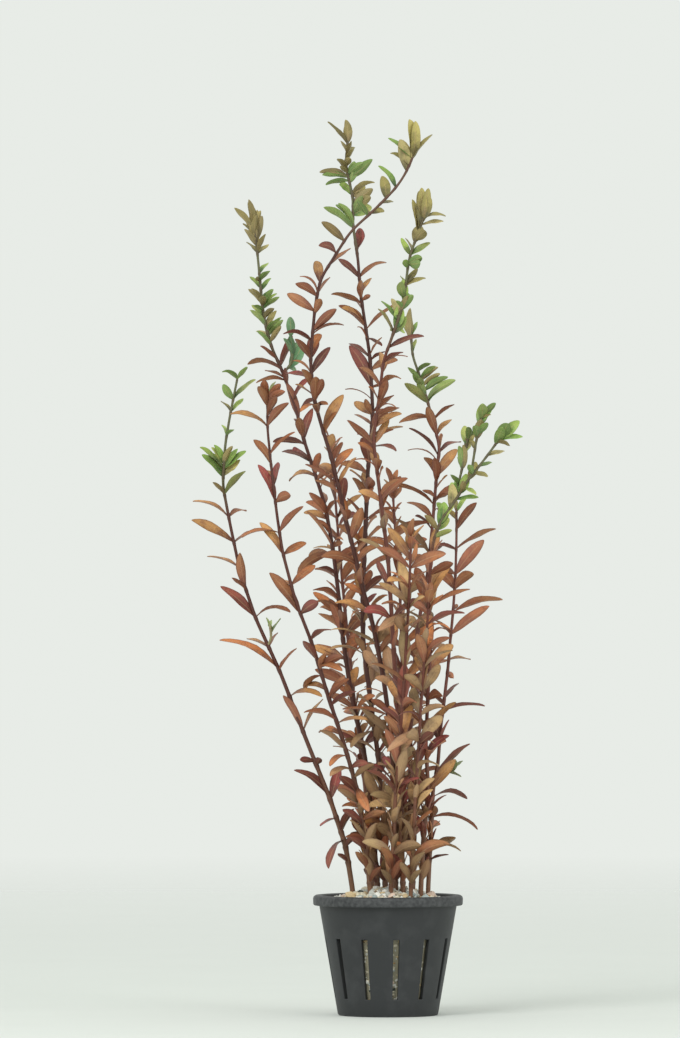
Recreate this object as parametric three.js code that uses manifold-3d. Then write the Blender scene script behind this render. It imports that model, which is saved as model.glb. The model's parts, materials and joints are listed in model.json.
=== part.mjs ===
// A potted bunch of rotala, an aquarium stem plant: leafy stems rooted in pale gravel in a small plain
// slotted pot. Millimetres, +Z up. The origin is the middle of the pot's flat underside, and -Y is towards
// the viewer.
import * as THREE from "three";
import { mergeVertices } from "three/addons/utils/BufferGeometryUtils.js";
import Module from "manifold-3d";

const wasm = await Module();
wasm.setup();

// The pot
const POT_HEIGHT = 48;
const POT_RIM_RADIUS = 30;
const POT_TOP_RADIUS = 27.6;
const POT_FOOT_RADIUS = 20;
const POT_WALL = 1.6;
const POT_FLOOR = 2;
const RIM_DROP = 4;
const LIP = 1;
const POT_SIDES = 24;
const SLOT_COUNT = 12;
const SLOT_WIDTH = 2.4;
const SLOT_LOW = 7;
const SLOT_HIGH = 31;

// The gravel
const GRAVEL_EDGE = 44.5;
const GRAVEL_CROWN = 50.5;
const PEBBLE_COUNT = 20;
const PEBBLE_SMALL = 1.7;
const PEBBLE_LARGE = 3.2;
const GAP = 0.35;

// The stems
const STEM_FOOT_RADIUS = 1.25;
const STEM_TIP_RADIUS = 0.6;
const STEM_LONGEST = 190;
const SIDES = 4;
const KINK_ROOM = 4;
const STEM_LEAN = 1.2;
const NOTCH = 0.6;
const NOTCH_SHARE = 0.45;
const NODE_MERGE = 0.9;
const NODE_STEP = 0.6;
const SAME_NODE = 1.5;
const NARROW = 0.3;

// The leaves: low on a stem, high on it, young ones near its tip and those of its crown
const LOW = { length: 18.5, slender: 0.27, rise: 50, droop: 46 };
const HIGH = { length: 14, slender: 0.29, rise: 56, droop: 26 };
const YOUNG = { length: 9, slender: 0.36, rise: 60, droop: 18 };
const CROWN = { slender: 0.38, rise: 72, droop: 16, spacing: 2.6, spread: 8, below: 0.6 };
const WIDEST_LEAF = 5.2;
const OUTLINE = { forward: 0.85, full: 0.8 };
const BLADE_HALF = 0.52;

// A leaf that looks shorter than it is: how much of its usual length it may have, how much longer than it
// looks, and how broad and how short one looks that comes towards the viewer
const FULL = 0.95;
const STRETCH = 1.3;
const SPARE = 2.5;
const BROAD = 2.6;
const SHORT = 0.6;
const PLAIN_ARCH = 18;
const SEEN_SLENDER = 0.9;

// How far the leaves of plain pairs differ: in share of their length and width, and in degrees
const VARIETY = { length: 0.3, width: 0.25, turn: 22, rise: 26, droop: 1.4, leastRoll: 12, roll: 52 };
const LEAF_THICKNESS = 0.55;
const LEAF_MIDDLE = 0.45;
const LOWEST_NODE = 60;
const HIGHEST_NODE = 330;

// Leaves give way to what stands already: the turns in degrees that one tries, and the room it asks for
const TRIES = [0, 14, -14, 28, -28, 42, -42];
const SHORT_TRIES = [0, 24, -24];
const SHORTENED = 0.62;
const LEAF_ROOM = 0.45;
const OWN_ROOM = 0.6;
const ROOT_SHARE = 0.35;
const STEM_ROOM = 0.3;
const RIM_ROOM = 2;
const GRAVEL_TOP = 52;
const FEELERS = [0.2, 0.4, 0.6, 0.8, 1.0];
const NEAR_TIP = 0.93;
const LEAST_HALF = 0.4;
const BALL_STEP = 1.5;

// Each stem runs through its points [x, z]. depth is its y at the gravel and at its tip. Above green,
// growth is young. seen lists single leaves as [height, across, up, width, arch]: where each grows, how far
// its tip lies across and up from there as seen from the front, how wide it looks, and in degrees how much
// it bends, if that is unusual. A leaf that looks short points forward or back. pairs lists plain opposite
// pairs as [height, turn], and every makes such pairs by rule as [lowest, highest, first turn]. crown is
// the tip's [pairs, leaf length].
const STEMS = [
  {
    name: "stem_far_left",
    depth: [-2, -14],
    path: [[-13, 24], [-14, 49], [-17, 68], [-23, 86], [-33, 111], [-43, 137], [-53, 159], [-59, 177],
      [-63, 196], [-66, 212], [-65, 228], [-63, 240], [-60, 255]],
    seen: [[254, -6, 3, 1.8, 50], [254, 4, 5, 1.8], [246, -4, 6, 3.2], [246, 9, 8, 1.8, 30],
      [241, -4, 4.5, 1], [241, 5, 5.5, 1.8], [231.5, -2, 4.5, 1.6], [231.5, 3, 2.5, 1.6], [220, -5, 7, 2.2],
      [220, 3.5, 7.5, 2.5], [218.5, -10.5, 8.5, 1.8], [218.5, 9, 7, 2.5], [217, 5.5, 3.5, 2.8],
      [215, -9, 9, 2.4], [208, -4.5, 5, 1.8, 30], [208, 8.5, 9.5, 2.5], [199, -14.5, 6.5, 1.2, 50],
      [199, 7, 2.5, 1.6, 60], [189, -17, 9, 3.6, 15], [189, 9, 5, 0.8], [179, -13, 4.5, 0.8, 30],
      [170, -5.5, 5, 1.8], [170, -2.5, 15, 3.6], [159, -14, 12.5, 3.6, 20], [159, 14, 2, 1.2, 80],
      [147, -9, 3.5, 1.2, 20], [147, 3.5, 6, 1.2], [138, -24, 12, 2.4, 50], [138, 7, 9, 1.2],
      [127.5, 13, 0, 2, 60], [113.5, -8, 14.5, 3.2, 15], [113.5, 8, 13, 1.2], [101, -5, 1.5, 1.6],
      [100, 1.5, 3, 2.8], [86.5, -14.5, 11.5, 2.8, 60], [79, -6.5, -3, 0.8], [70, -6, -11, 2.4, 70]],
    green: 214,
  },
  {
    name: "stem_left_front",
    depth: [-8, -30],
    path: [[-7, 24], [-7, 49], [-9, 70], [-13, 93], [-18, 110], [-24, 128], [-30, 148], [-37, 166],
      [-42, 185], [-44, 198], [-46, 214], [-47, 224], [-48, 234], [-48, 248]],
    seen: [[247, 3, 6, 1.4], [245, -1, 8.5, 3.4], [244, 7, 5, 3.2], [235, -15, 5, 2, 50],
      [235, 8.5, 9.5, 3.2], [224, 10, 9, 1.6], [220, -7, 10, 3.2], [215, -3, 3, 1.2], [211, 1.5, 10, 2.8],
      [205, -7, 15, 3.3], [205, 6, 3, 4], [193, -15, -2, 1, 50], [193, 9.5, 10.5, 2.8],
      [184, -9.5, 13, 3.4], [184, 9, 5, 3.2], [172, 9.5, 8, 3.4], [172, -5, 2, 1.2],
      [160.5, -12.5, 16.5, 4.6, 15], [160.5, 7, 5, 4.2], [150, 8, 4.5, 2, 40], [142, -5.5, 8, 3.2],
      [139, 9, 5, 3.6], [136, -7, -6, 2.4, 50], [127, 8, 8, 2.8], [118, -13, 3.5, 2.4, 50],
      [117, 12, 1.5, 1.6, 30], [106, -10.5, 8.5, 2.4, 25], [95, 8, 6, 2.6], [89, -7, 7, 3.6], [78, 9, 4, 3],
      [70, -8, 2, 2.6]],
  },
  {
    name: "stem_left_tall",
    depth: [5, 24],
    path: [[-4, 24], [-4, 49], [-6, 74], [-9, 102], [-12, 116], [-15, 130], [-18, 150], [-20, 170],
      [-22, 186], [-25, 203], [-29, 216], [-34, 231], [-37, 243], [-42, 257], [-47, 268], [-50, 280],
      [-51, 290], [-52, 301], [-53, 311], [-54, 317]],
    seen: [[312.5, 0.5, 8, 2.6], [311.5, 2, 11, 3], [311, -9, 10.5, 2.4, 30], [311, -3, 16, 2.6],
      [305, -4.5, 5, 1.4], [305, 4.5, 4, 1.8], [294, -1.5, 1.5, 1.8], [294, 4, 4, 2], [286, -4, 5, 2],
      [286, 4, 5, 1.8], [284, 5, 5, 1.8], [284, 0.5, 4, 3], [279, -5, 5.5, 2.2], [279, 4, 4, 2.4],
      [274, 5, 4, 1.6, 40], [273, 4, 6.5, 2.6], [272, -5, 2, 1.4], [262, -7, 6, 1.6],
      [258, -14, 2.5, 2, 70], [255, -8, 3, 0.8], [254, -12, -1, 1.6, 40], [238, -5, 15, 3.4],
      [231, -2, 8, 3.6], [230, 3.5, 13, 3.4], [221, -12, 4.5, 2.2, 40], [215, -11, -1.5, 1.6, 80],
      [214, 4, 4, 2.4], [200, -7, 9, 3], [200, 3, 6, 2], [187, -10.5, 14.5, 1.4], [187, 4, 2, 2.4],
      [184, -10, -1, 2.2, 40], [184, 10, -2, 3, 40], [176, -7, 3, 2], [166, -10.5, 4, 2.2, 40],
      [166, 6, -4, 1.8], [150, -5.5, 16.5, 4.4], [142, -12, 6, 2.4], [128, 2.5, 11, 4]],
    pairs: [[118, 60], [106, 40], [94, 110], [80, 20], [66, 100]],
    green: 255,
  },
  {
    name: "stem_centre_bent",
    depth: [-3, -20],
    path: [[3, 24], [3, 49], [3, 86], [1, 114], [-2, 136], [-6, 156], [-10, 170], [-14, 187], [-17, 198],
      [-20, 212], [-23, 224], [-27, 237], [-30, 248], [-31, 262], [-30, 274], [-29, 284], [-27, 294],
      [-22, 302], [-15, 313], [-6, 321], [3, 330], [7, 336], [10, 343]],
    seen: [[342, 8, 9.5, 1.2], [341.5, -1, 16, 4.4], [339, -7.5, 5, 1.8, 40], [337, -2.5, 12.5, 4.8],
      [330, -7, 9, 2.2, 30], [326, -1.5, 9, 4.2], [324, 5, 1, 1.4], [320, 5.5, 1.5, 2.4, 40],
      [320, -4, 2.5, 1.8], [319, -4, 6, 2.4], [309, -9, 7.5, 3.4, 25], [304, -7, 3, 3, 50],
      [299, 9, 7.5, 1.6], [292.5, -1.5, 9, 4], [288, 5, 7, 0.8], [287, -8.5, 5, 3.2, 30],
      [281, -11, 7, 4, 20], [273, 9.5, 9, 3.6], [269, -11.5, 3, 1.8, 60], [262, 2, 9.5, 5],
      [256, 7.5, 11, 3.4], [254, -10.5, 2.5, 1.8, 30], [245, 0.5, 10, 4.5], [244, -6, -3, 1.6, 40],
      [244, 5, 0, 1.8], [233, 8, 15, 4.4], [223, 0.5, 9.5, 4], [218, 7.5, 8.5, 3.4], [204, 1, 11, 4.4],
      [190, 4.5, 13, 4.4], [120, -18.5, 2.5, 1.4, 30], [104, -2, 9, 4]],
    pairs: [[212, 180], [197, 100], [180, 190], [172, 90], [160, 170], [148, 30], [136, 120], [112, 200],
      [96, 100], [84, 10], [70, 80]],
    green: 318,
  },
  {
    name: "stem_centre_tall",
    depth: [4, 16],
    path: [[-1, 24], [-1, 49], [-2, 82], [-4, 104], [-7, 126], [-10, 150], [-10, 170], [-9, 194], [-8, 218],
      [-6, 240], [-7, 262], [-9, 276], [-11, 289], [-12, 303], [-14, 316], [-14, 328], [-17, 340],
      [-16, 351]],
    seen: [[349.5, 0, 8.5, 3.2], [349, -8, 9, 1.4], [345, 3, 3, 2], [341, -2, 1, 1.6], [340, 2, 3, 3],
      [337, -2.5, 3, 2], [336.5, 6.5, 5, 2.6], [335.5, -10.5, 1, 2.2, 30], [334.5, 9.5, 8, 2.8],
      [334, -9.5, -1.5, 2, 40], [329, 9, 4.5, 2, 50], [328, -5.5, 5, 2], [321, 4, 7, 3],
      [319, -7, 5.5, 2.2], [315, -12, 8.5, 2.8, 30], [305, 1, 10, 2.6], [295, -8.5, 8, 2.8],
      [295, 11, 6.5, 2, 50], [286.5, -0.5, 7.5, 2.8], [286, 3.5, 2, 2], [284.5, -12.5, 4, 2.2, 30],
      [275, -11, 9, 2.6, 40], [274.5, 13, 10.5, 1.4], [271, 6, -3, 1.4], [263, -8.5, 6, 2],
      [262, 6, 3.5, 1.2], [251, -9, 17, 5], [251, 4, 1, 1.4], [241, 8.5, 7, 2], [240, -7.5, 5.5, 3.6],
      [236, -7, 4.5, 1.4], [231, 13, 4.5, 1.6], [230, -5.5, 2.5, 0.8], [227, 10.5, -1.5, 1.2, 40],
      [220, -2.5, 11, 5], [205, -8, 10, 2.2], [182, 0, 14, 4.4], [171, 3, 7, 3], [166, -0.5, 15, 4.8],
      [130, -0.5, 18, 5], [114, -9.5, -7, 2.2], [84, -7, 14, 4.6], [63, -8, 18, 4.8]],
    pairs: [[208, 100], [197, 10], [188, 110], [176, 20], [156, 120], [144, 40], [136, 150], [122, 70],
      [104, 190], [96, 70], [76, 60]],
    green: 312,
  },
  {
    name: "stem_right_tall",
    depth: [-5, -34],
    path: [[6, 24], [6, 49], [5, 86], [4, 118], [2, 150], [1, 166], [0, 182], [-2, 198], [-4, 214],
      [-6, 230], [-4, 244], [-3, 252], [-2, 261], [3, 275], [6, 284], [7, 292], [8, 301], [10, 307],
      [14, 318]],
    seen: [[317.5, 9, 1, 1.4, 60], [317, 1.5, 11, 4.6], [315.5, -1, 13, 4.6], [315, 9, 1.5, 1.6],
      [313, -1, 9, 2], [312, -2.5, 12, 2.4], [309, 4, 3.5, 4.4], [305, -2.5, 5, 0.8], [303, 8, 5, 2.4],
      [299.5, 5.5, 2.5, 3.6], [298, -1.5, 3, 2.6], [291, 8, 3, 1.8, 30], [291, -2, 4, 0.8], [286, 2, 2, 2],
      [285, -0.5, 8.5, 3.4], [282, -2, 3, 1.8], [280, 3, 7, 2.4], [277, -6.5, 8, 1.6], [274, 4, -1.5, 2],
      [273, -1.5, 1, 1.6], [266, 14.5, 5, 2.4, 30], [260, 8, 4.5, 2, 30], [252, 8, 2, 2, 60],
      [243, 3.5, 10.5, 3.4], [239.5, 9, 3, 2.2], [134, -4, 14, 5]],
    pairs: [[228, 200], [217, 100], [205, 10], [194, 90], [182, 200], [170, 120], [158, 30], [146, 100],
      [120, 110], [108, 20], [96, 100], [82, 30], [68, 300]],
    green: 270,
  },
  {
    name: "stem_right_back",
    depth: [3, 34],
    path: [[10, 24], [10, 49], [9, 86], [9, 114], [11, 142], [12, 154], [14, 166], [16, 176], [17, 186],
      [18, 196], [19, 208], [20, 220], [21, 227], [18, 239], [16, 246], [13, 256], [10, 264], [9, 279]],
    seen: [[272, 2.5, 6, 2], [271, -3, 5, 1.8], [270, -0.5, 13.5, 3.4], [265, 1.5, 6, 1.8], [258, 5, 3, 2],
      [255, 6, 5, 2.2], [252.5, -6, 7, 1.8], [252, 7, 5, 2.2], [251, -2, 4, 3], [245, 8.5, 9.5, 1.8, 40],
      [245, -9.5, 8, 3.4], [239, -13.5, -2, 2.4, 40], [238, 8.5, 6.5, 1.4], [232, -4, 11.5, 3.8],
      [225, 9, 4.5, 1.6, 40], [223.5, -12, 11.5, 1.2, 40], [215.5, 8.5, 11, 4.2], [213, -0.5, 10, 3.6],
      [207, -5, 3, 1.8], [206, 5, 2.5, 2], [204, -21, 7, 1.8, 60], [198, -10.5, 7, 2.4, 50],
      [197, -20, -10, 3.4, 50], [184, -14.5, 14, 1.8], [184, 6, 5, 2.2], [183, -10, -1, 2.4],
      [179, -9, 4, 2], [166, -3, 13, 4.6]],
    pairs: [[154, 110], [142, 30], [130, 120], [118, 60], [106, 150], [94, 20], [82, 130], [70, 40]],
    green: 247,
  },
  {
    name: "stem_right_forked",
    depth: [-7, -22],
    path: [[13, 24], [13, 49], [14, 70], [16, 90], [15, 110], [16, 130], [17, 150], [16, 166], [17, 182],
      [18, 190], [21, 198], [27, 206], [31, 213], [35, 218], [39, 223], [44, 230]],
    seen: [[229, 5, -1.5, 1.8], [228.5, 2, 5, 3.6], [228, 3, 7, 4], [223.5, 7, 2, 1.8], [219, 5.5, 2, 1.6],
      [216.5, 6, -1, 2], [216, -1.5, 4, 2.6], [211, 5, -3, 1.6], [209, 4, 3, 2.6], [206, 9, 1, 1.8],
      [205, -1, 8, 4], [200, -3, 5, 2.6], [196, 6, 8, 3], [194, -5, 6, 2.6], [191, 7, 3, 2.4],
      [176, 9, 5, 3.6], [165, 8.5, 14, 2.6], [163, 16.5, 7.5, 1.8], [158, 3, 12.5, 2]],
    pairs: [[182, 120], [170, 30], [150, 100], [138, 40], [126, 110], [114, 20], [102, 90], [90, 10],
      [78, 60], [66, 340]],
    green: 190,
  },
  {
    name: "stem_far_right",
    depth: [1, 10],
    path: [[16, 24], [16, 49], [17, 70], [18, 90], [20, 100], [21, 114], [23, 130], [24, 138], [25, 150],
      [26, 160], [27, 174], [27.5, 190], [27.5, 203]],
    seen: [[201, -2, 7, 2.4], [201, 2, 6, 2.4], [198, -5, 5, 2], [194, 8, 11, 3.4], [186.5, 16, 8, 2],
      [186, -8, 2, 1.6], [176, 11.5, 14, 5], [176, -9, 3, 3], [162, 2, 2, 1.6], [161, 20, 5, 2.8, 40],
      [152, 15.5, 11.5, 4], [152, -6.5, 6, 1.6], [142, -5.5, -2, 1.6], [142, 9, 0, 0.8, 20],
      [137, 2.5, -2.5, 2.4], [126, 6, 6.5, 1.6], [124, -5, 4, 1.8], [121.5, 17, 2, 1.6, 40],
      [120, -6, -5, 3], [97, 13.5, 11.5, 2.4], [87, 14, -1, 1.8, 70], [79, 18.5, -5, 1.6, 70],
      [78, 1, 6, 3.4], [66, 10, 5.5, 3.4], [62, 7.5, 2.5, 1]],
    pairs: [[170, 120], [109, 120]],
  },
  {
    name: "stem_back_centre",
    depth: [9, 46],
    path: [[3, 24], [3, 49], [5, 90], [6, 130], [5, 170], [3, 195], [2, 212]],
    every: [66, 206, 30],
    crown: [3, 8],
    green: 192,
  },
  {
    name: "stem_front_centre",
    depth: [-11, -46],
    path: [[1, 24], [1, 49], [3, 90], [6, 130], [8, 165], [9, 192]],
    seen: [[182, -9, 13, 4], [165, -12, 8, 3], [163, -5, 19, 4.4], [161, -12, -7, 3.4], [139, -1, 16, 5],
      [124, 1, 17, 5.2], [110, -4, 14, 4.6], [109, 1, 16, 5.2], [100, -5, 15, 4], [92, 4, 15, 4.4]],
    every: [64, 186, 350],
    crown: [3, 9],
    green: 182,
  },
  {
    name: "stem_back_left",
    depth: [11, 50],
    path: [[-5, 24], [-6, 49], [-9, 90], [-14, 130], [-18, 170], [-21, 205], [-22, 228]],
    every: [70, 222, 70],
    crown: [3, 9],
    green: 205,
  },
  {
    name: "stem_front_right",
    depth: [-12, -40],
    path: [[8, 24], [9, 49], [11, 90], [13, 125], [15, 150], [16, 168]],
    seen: [[141, -3, 12, 4], [140, 2.5, 19, 5], [128, 3, 16, 3], [115, -13, -9, 3.6], [92, 1.5, 12, 4],
      [84, -5, 10, 4.2]],
    every: [62, 162, 20],
    crown: [3, 9],
    green: 158,
  },
];

// Side shoots leave a stem at a height and run through points [x, y, z] measured from there
const SIDE_SHOOTS = [
  {
    name: "side_shoot_far_left",
    parent: "stem_far_left",
    at: 148,
    reach: [[1.2, -1.4, 0.8], [1.4, -2.6, 5], [0.6, -3.2, 9]],
    seen: [[153, -2, 6, 1.2], [153, 2, 6, 1.2], [155, 0.3, 3, 1.6]],
    green: 0,
  },
  {
    name: "side_shoot_left_tall",
    parent: "stem_left_tall",
    at: 257,
    reach: [[1.2, -1, 0.8], [4, -3, 4], [3.4, -4, 10], [3, -4.5, 15]],
    seen: [[271.5, -0.2, 8, 3.6], [264, -1, 8, 3], [264, -3.5, 7, 2], [262, 2, 7.5, 3.6], [259, 3, -1, 2]],
    green: 0,
  },
  {
    name: "fork_upper",
    parent: "stem_right_forked",
    at: 216,
    reach: [[-0.4, -1.3, 0.9], [0.6, -2.6, 7], [1.8, -3, 15], [4.2, -3, 25]],
    seen: [[226, -1.5, 4, 2.2], [231, -1, 4.5, 3], [232, 2.5, 5, 3], [238, 0.5, 6, 4], [239, 3.5, 6, 3],
      [238.5, 3.5, 3, 2.4]],
    green: 0,
  },
  {
    name: "fork_inner",
    parent: "stem_right_forked",
    at: 207,
    reach: [[-0.8, 1.3, 1.2], [1.6, 3, 10], [3.2, 3.6, 19], [4.4, 3.6, 25]],
    seen: [[212, -3, 4, 2], [218, 0.5, 10, 2.6], [218, -1.5, 5, 1.6], [224, 2.5, 4, 2], [230, 0.3, 5, 2.8],
      [231, 3, 4, 2.6]],
    green: 0,
  },
  {
    name: "side_shoot_far_right",
    parent: "stem_far_right",
    at: 93,
    reach: [[1.5, -0.9, 0.8], [4.5, -1.6, 3], [8, -2, 6]],
    seen: [[98.5, 4, 3, 1.4], [97, 3, 5, 2.2], [97, 5, -1.5, 1], [98, -1, 3, 1.4]],
    green: 0,
  },
];

// A node is made every so often along a plain stem, closer together towards the tip, each pair turned past
// the last
const NODE_GAP = { low: 13, high: 7.5 };
const NODE_TURN = 97;

const COLOURS = {
  pot: 0x26282a,
  gravel: 0xc9c3ae,
  stem: 0x9c6646,
  young: 0x7d9a4e,
};
const GREEN_STEMS = ["stem_right_forked"];

const radians = (angle) => (angle * Math.PI) / 180;
const degrees = (angle) => (angle * 180) / Math.PI;
const mix = (from, to, share) => from + (to - from) * share;
const clamp01 = (value) => Math.min(1, Math.max(0, value));

// An even spread of numbers from 0 to 1, the same on every run: the fractional part of n golden ratios
function spread(n) {
  const value = n * 0.6180339887498949;
  return value - Math.floor(value);
}

// A stem's y at a height: straight down in the gravel, then leaning out more and more towards the tip
function depthAt(stem, z, top) {
  const share = clamp01((z - GRAVEL_CROWN) / (top - GRAVEL_CROWN));
  return mix(stem.depth[0], stem.depth[1], share ** STEM_LEAN);
}

// The points that a stem or side shoot runs through
function lineOf(shoot, lines) {
  if (shoot.path) {
    const top = shoot.path.at(-1)[1];
    return shoot.path.map(([x, z]) => new THREE.Vector3(x, depthAt(shoot, z, top), z));
  }
  const start = along(lines.get(shoot.parent), shoot.at).point;
  return shoot.reach.map(([x, y, z]) => new THREE.Vector3(start.x + x, start.y + y, start.z + z));
}

// The point and the direction of growth where a line passes a height
function along(line, z) {
  let i = 0;
  while (i < line.length - 2 && line[i + 1].z < z) i++;
  const share = (z - line[i].z) / (line[i + 1].z - line[i].z);
  return {
    point: line[i].clone().lerp(line[i + 1], share),
    growth: line[i + 1].clone().sub(line[i]).normalize(),
  };
}

// The level direction of a turn in degrees, tipped to be square to a direction of growth
function headingAt(growth, turn) {
  const heading = new THREE.Vector3(Math.cos(radians(turn)), Math.sin(radians(turn)), 0);
  return heading.addScaledVector(growth, -heading.dot(growth)).normalize();
}

// So much of one direction plus so much of another
function blend(one, much, other, more) {
  return one.clone().multiplyScalar(much).addScaledVector(other, more);
}

// The four corners round a point of a stem, the first of them a share of a quarter turn past a turn in degrees
function cornersRound(point, growth, turn, shift, radius) {
  const ahead = headingAt(growth, turn);
  const aside = growth.clone().cross(ahead);
  return Array.from({ length: SIDES }, (_, i) => {
    const angle = ((i + shift) / SIDES) * 2 * Math.PI;
    return point.clone().add(blend(ahead, radius * Math.cos(angle), aside, radius * Math.sin(angle)));
  });
}

// A geometry of points and of the faces between them
function shellOf(points, faces) {
  const geometry = new THREE.BufferGeometry();
  const numbers = points.flatMap((p) => [p.x, p.y, p.z]);
  geometry.setAttribute("position", new THREE.Float32BufferAttribute(numbers, 3));
  geometry.setIndex(faces);
  return geometry;
}

// A stem thins from its foot to its tip
function stemRadius(tip, z) {
  return mix(STEM_TIP_RADIUS, STEM_FOOT_RADIUS, clamp01((tip - z) / STEM_LONGEST));
}

// The nodes of a plain stem, made by rule
function nodesEvery([from, to, turn]) {
  const nodes = [];
  for (let z = from, i = 0; z < to; i++) {
    nodes.push([z, turn + NODE_TURN * i]);
    z += mix(NODE_GAP.low, NODE_GAP.high, clamp01((z - from) / (to - from)));
  }
  return nodes;
}

// Where a leaf's midline is at a share of its length, which way its edge lies there and which way its face
// looks. The midline is an arc: it leaves the stem at its rise and falls by its droop on the way to the
// tip.
function leafAt(leaf, share) {
  const rise = radians(leaf.rise);
  const droop = radians(leaf.droop);
  const angle = rise - droop * share;
  const outward = (leaf.length * (Math.sin(rise) - Math.sin(angle))) / droop;
  const upward = (leaf.length * (Math.cos(angle) - Math.cos(rise))) / droop;
  const face = blend(leaf.growth, Math.cos(angle), leaf.out, -Math.sin(angle));
  const side = leaf.out.clone().cross(leaf.growth);
  const roll = radians(leaf.roll);
  return {
    point: leaf.root.clone().addScaledVector(leaf.out, outward).addScaledVector(leaf.growth, upward),
    side: blend(side, Math.cos(roll), face, Math.sin(roll)),
    face: blend(face, Math.cos(roll), side, -Math.sin(roll)),
  };
}

// A leaf's width at a share of its length: narrow at the stem, widest before the middle, pointed at the tip
function leafWidth(leaf, share) {
  return leaf.width * Math.sin(Math.PI * share ** OUTLINE.forward) ** OUTLINE.full;
}

// The same leaf headed another way and scaled
function turned(leaf, turn, size) {
  return {
    ...leaf,
    turn: leaf.turn + turn,
    out: headingAt(leaf.growth, leaf.turn + turn),
    length: leaf.length * size,
    width: leaf.width * size,
  };
}

// Balls along a leaf, as wide as it is, that feel for what is in its way
function feelersOf(leaf) {
  return FEELERS.map((share) => ({
    at: leafAt(leaf, share).point,
    reach: Math.max(leafWidth(leaf, Math.min(share, NEAR_TIP)) / 2, LEAST_HALF) + LEAF_ROOM / 2,
    share,
  }));
}

// Whether a feeler and a ball of two leaves of one node both lie near their roots, where such leaves meet
// anyway
function isRoot(leaf, feeler, ball) {
  return Math.abs(ball.z - leaf.z) < SAME_NODE && (feeler.share < ROOT_SHARE || ball.share < ROOT_SHARE);
}

// Whether a leaf's feelers meet neither the pot's rim and gravel, nor another shoot, nor other leaves of
// their own
function isClear(leaf, feelers, balls) {
  for (const feeler of feelers) {
    const level = Math.hypot(feeler.at.x, feeler.at.y);
    if (level < POT_RIM_RADIUS + RIM_ROOM && feeler.at.z < GRAVEL_TOP + feeler.reach) return false;
    for (const ball of balls) {
      const own = ball.shoot === leaf.shoot;
      if (own && (ball.z === undefined || isRoot(leaf, feeler, ball))) continue;
      const room = (feeler.reach + ball.reach) * (own ? OWN_ROOM : 1);
      if (feeler.at.distanceToSquared(ball.at) < room ** 2) return false;
    }
  }
  return true;
}

// A leaf's usual sizes at a height, from the foot of a stem to its young growth
function sizesAt(shoot, z) {
  if (z > (shoot.green ?? Infinity)) return YOUNG;
  const share = clamp01((z - LOWEST_NODE) / (HIGHEST_NODE - LOWEST_NODE));
  return Object.fromEntries(Object.keys(LOW).map((key) => [key, mix(LOW[key], HIGH[key], share)]));
}

// The roll in degrees, the lesser of the two that do, at which a leaf shows a share of its width to the
// front. At no roll its edge lies along side and its face looks along face.
function rollShowing(share, chord, side, face) {
  const across = new THREE.Vector3(-chord.z, 0, chord.x).normalize();
  const [a, b] = [side.dot(across), face.dot(across)];
  const most = Math.atan2(b, a);
  const aside = Math.acos(Math.min(1, share / Math.hypot(a, b)));
  const half = (roll) => roll - Math.PI * Math.round(roll / Math.PI);
  const [one, other] = [half(most - aside), half(most + aside)];
  return degrees(Math.abs(one) < Math.abs(other) ? one : other);
}

// A leaf listed by where its tip is seen. What it lacks of its usual length points forward or back, and it
// is rolled about its own length until it looks as wide as listed.
function seenLeaf(shoot, line, [z, across, up, seen, arch = PLAIN_ARCH], seed) {
  const usual = sizesAt(shoot, z);
  const { point, growth } = along(line, z);
  const shown = Math.hypot(across, up);
  const reach = Math.max(shown, Math.min(FULL * usual.length, STRETCH * shown + SPARE));
  const isNear = (shown < SHORT * usual.length && seen >= BROAD) || spread(seed) < 0.5;
  const away = Math.sqrt(reach ** 2 - shown ** 2) * (isNear ? -1 : 1);
  const chord = new THREE.Vector3(across, away, up).divideScalar(reach);
  const climb = Math.asin(chord.dot(growth));
  const out = chord.clone().addScaledVector(growth, -Math.sin(climb)).normalize();
  const bend = radians(arch) / 2;
  const length = (reach * bend) / Math.sin(bend);
  const width = Math.min(WIDEST_LEAF, Math.max(seen, SEEN_SLENDER * usual.slender * length));
  const heading = out.clone().addScaledVector(growth, -out.z / growth.z);
  const side = out.clone().cross(growth);
  const face = growth.clone().multiplyScalar(Math.cos(climb)).addScaledVector(out, -Math.sin(climb));
  return {
    point,
    growth,
    z,
    turn: degrees(Math.atan2(heading.y, heading.x)),
    length,
    width,
    rise: degrees(climb) + arch / 2,
    droop: arch,
    roll: rollShowing(seen / width, chord, side, face),
  };
}

// Both leaves of a plain pair, no two quite alike
function pairAt(shoot, line, z, turn, seed) {
  const usual = sizesAt(shoot, z);
  return [0, 1].map((partner) => {
    const [a, b, c] = [11, 37, 23].map((step) => spread(seed * step + partner * 5));
    const length = usual.length * (1 - VARIETY.length * a * (partner + 0.25));
    return {
      ...along(line, z),
      z,
      turn: turn + 180 * partner + (b - 0.5) * VARIETY.turn,
      length,
      width: Math.min(WIDEST_LEAF, length * usual.slender * (1 + (b - 0.5) * VARIETY.width)),
      rise: usual.rise + (a - 0.5) * VARIETY.rise,
      droop: usual.droop * (1 + (c - 0.5) * VARIETY.droop),
      roll: (c < 0.5 ? -1 : 1) * (VARIETY.leastRoll + b * VARIETY.roll),
    };
  });
}

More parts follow.
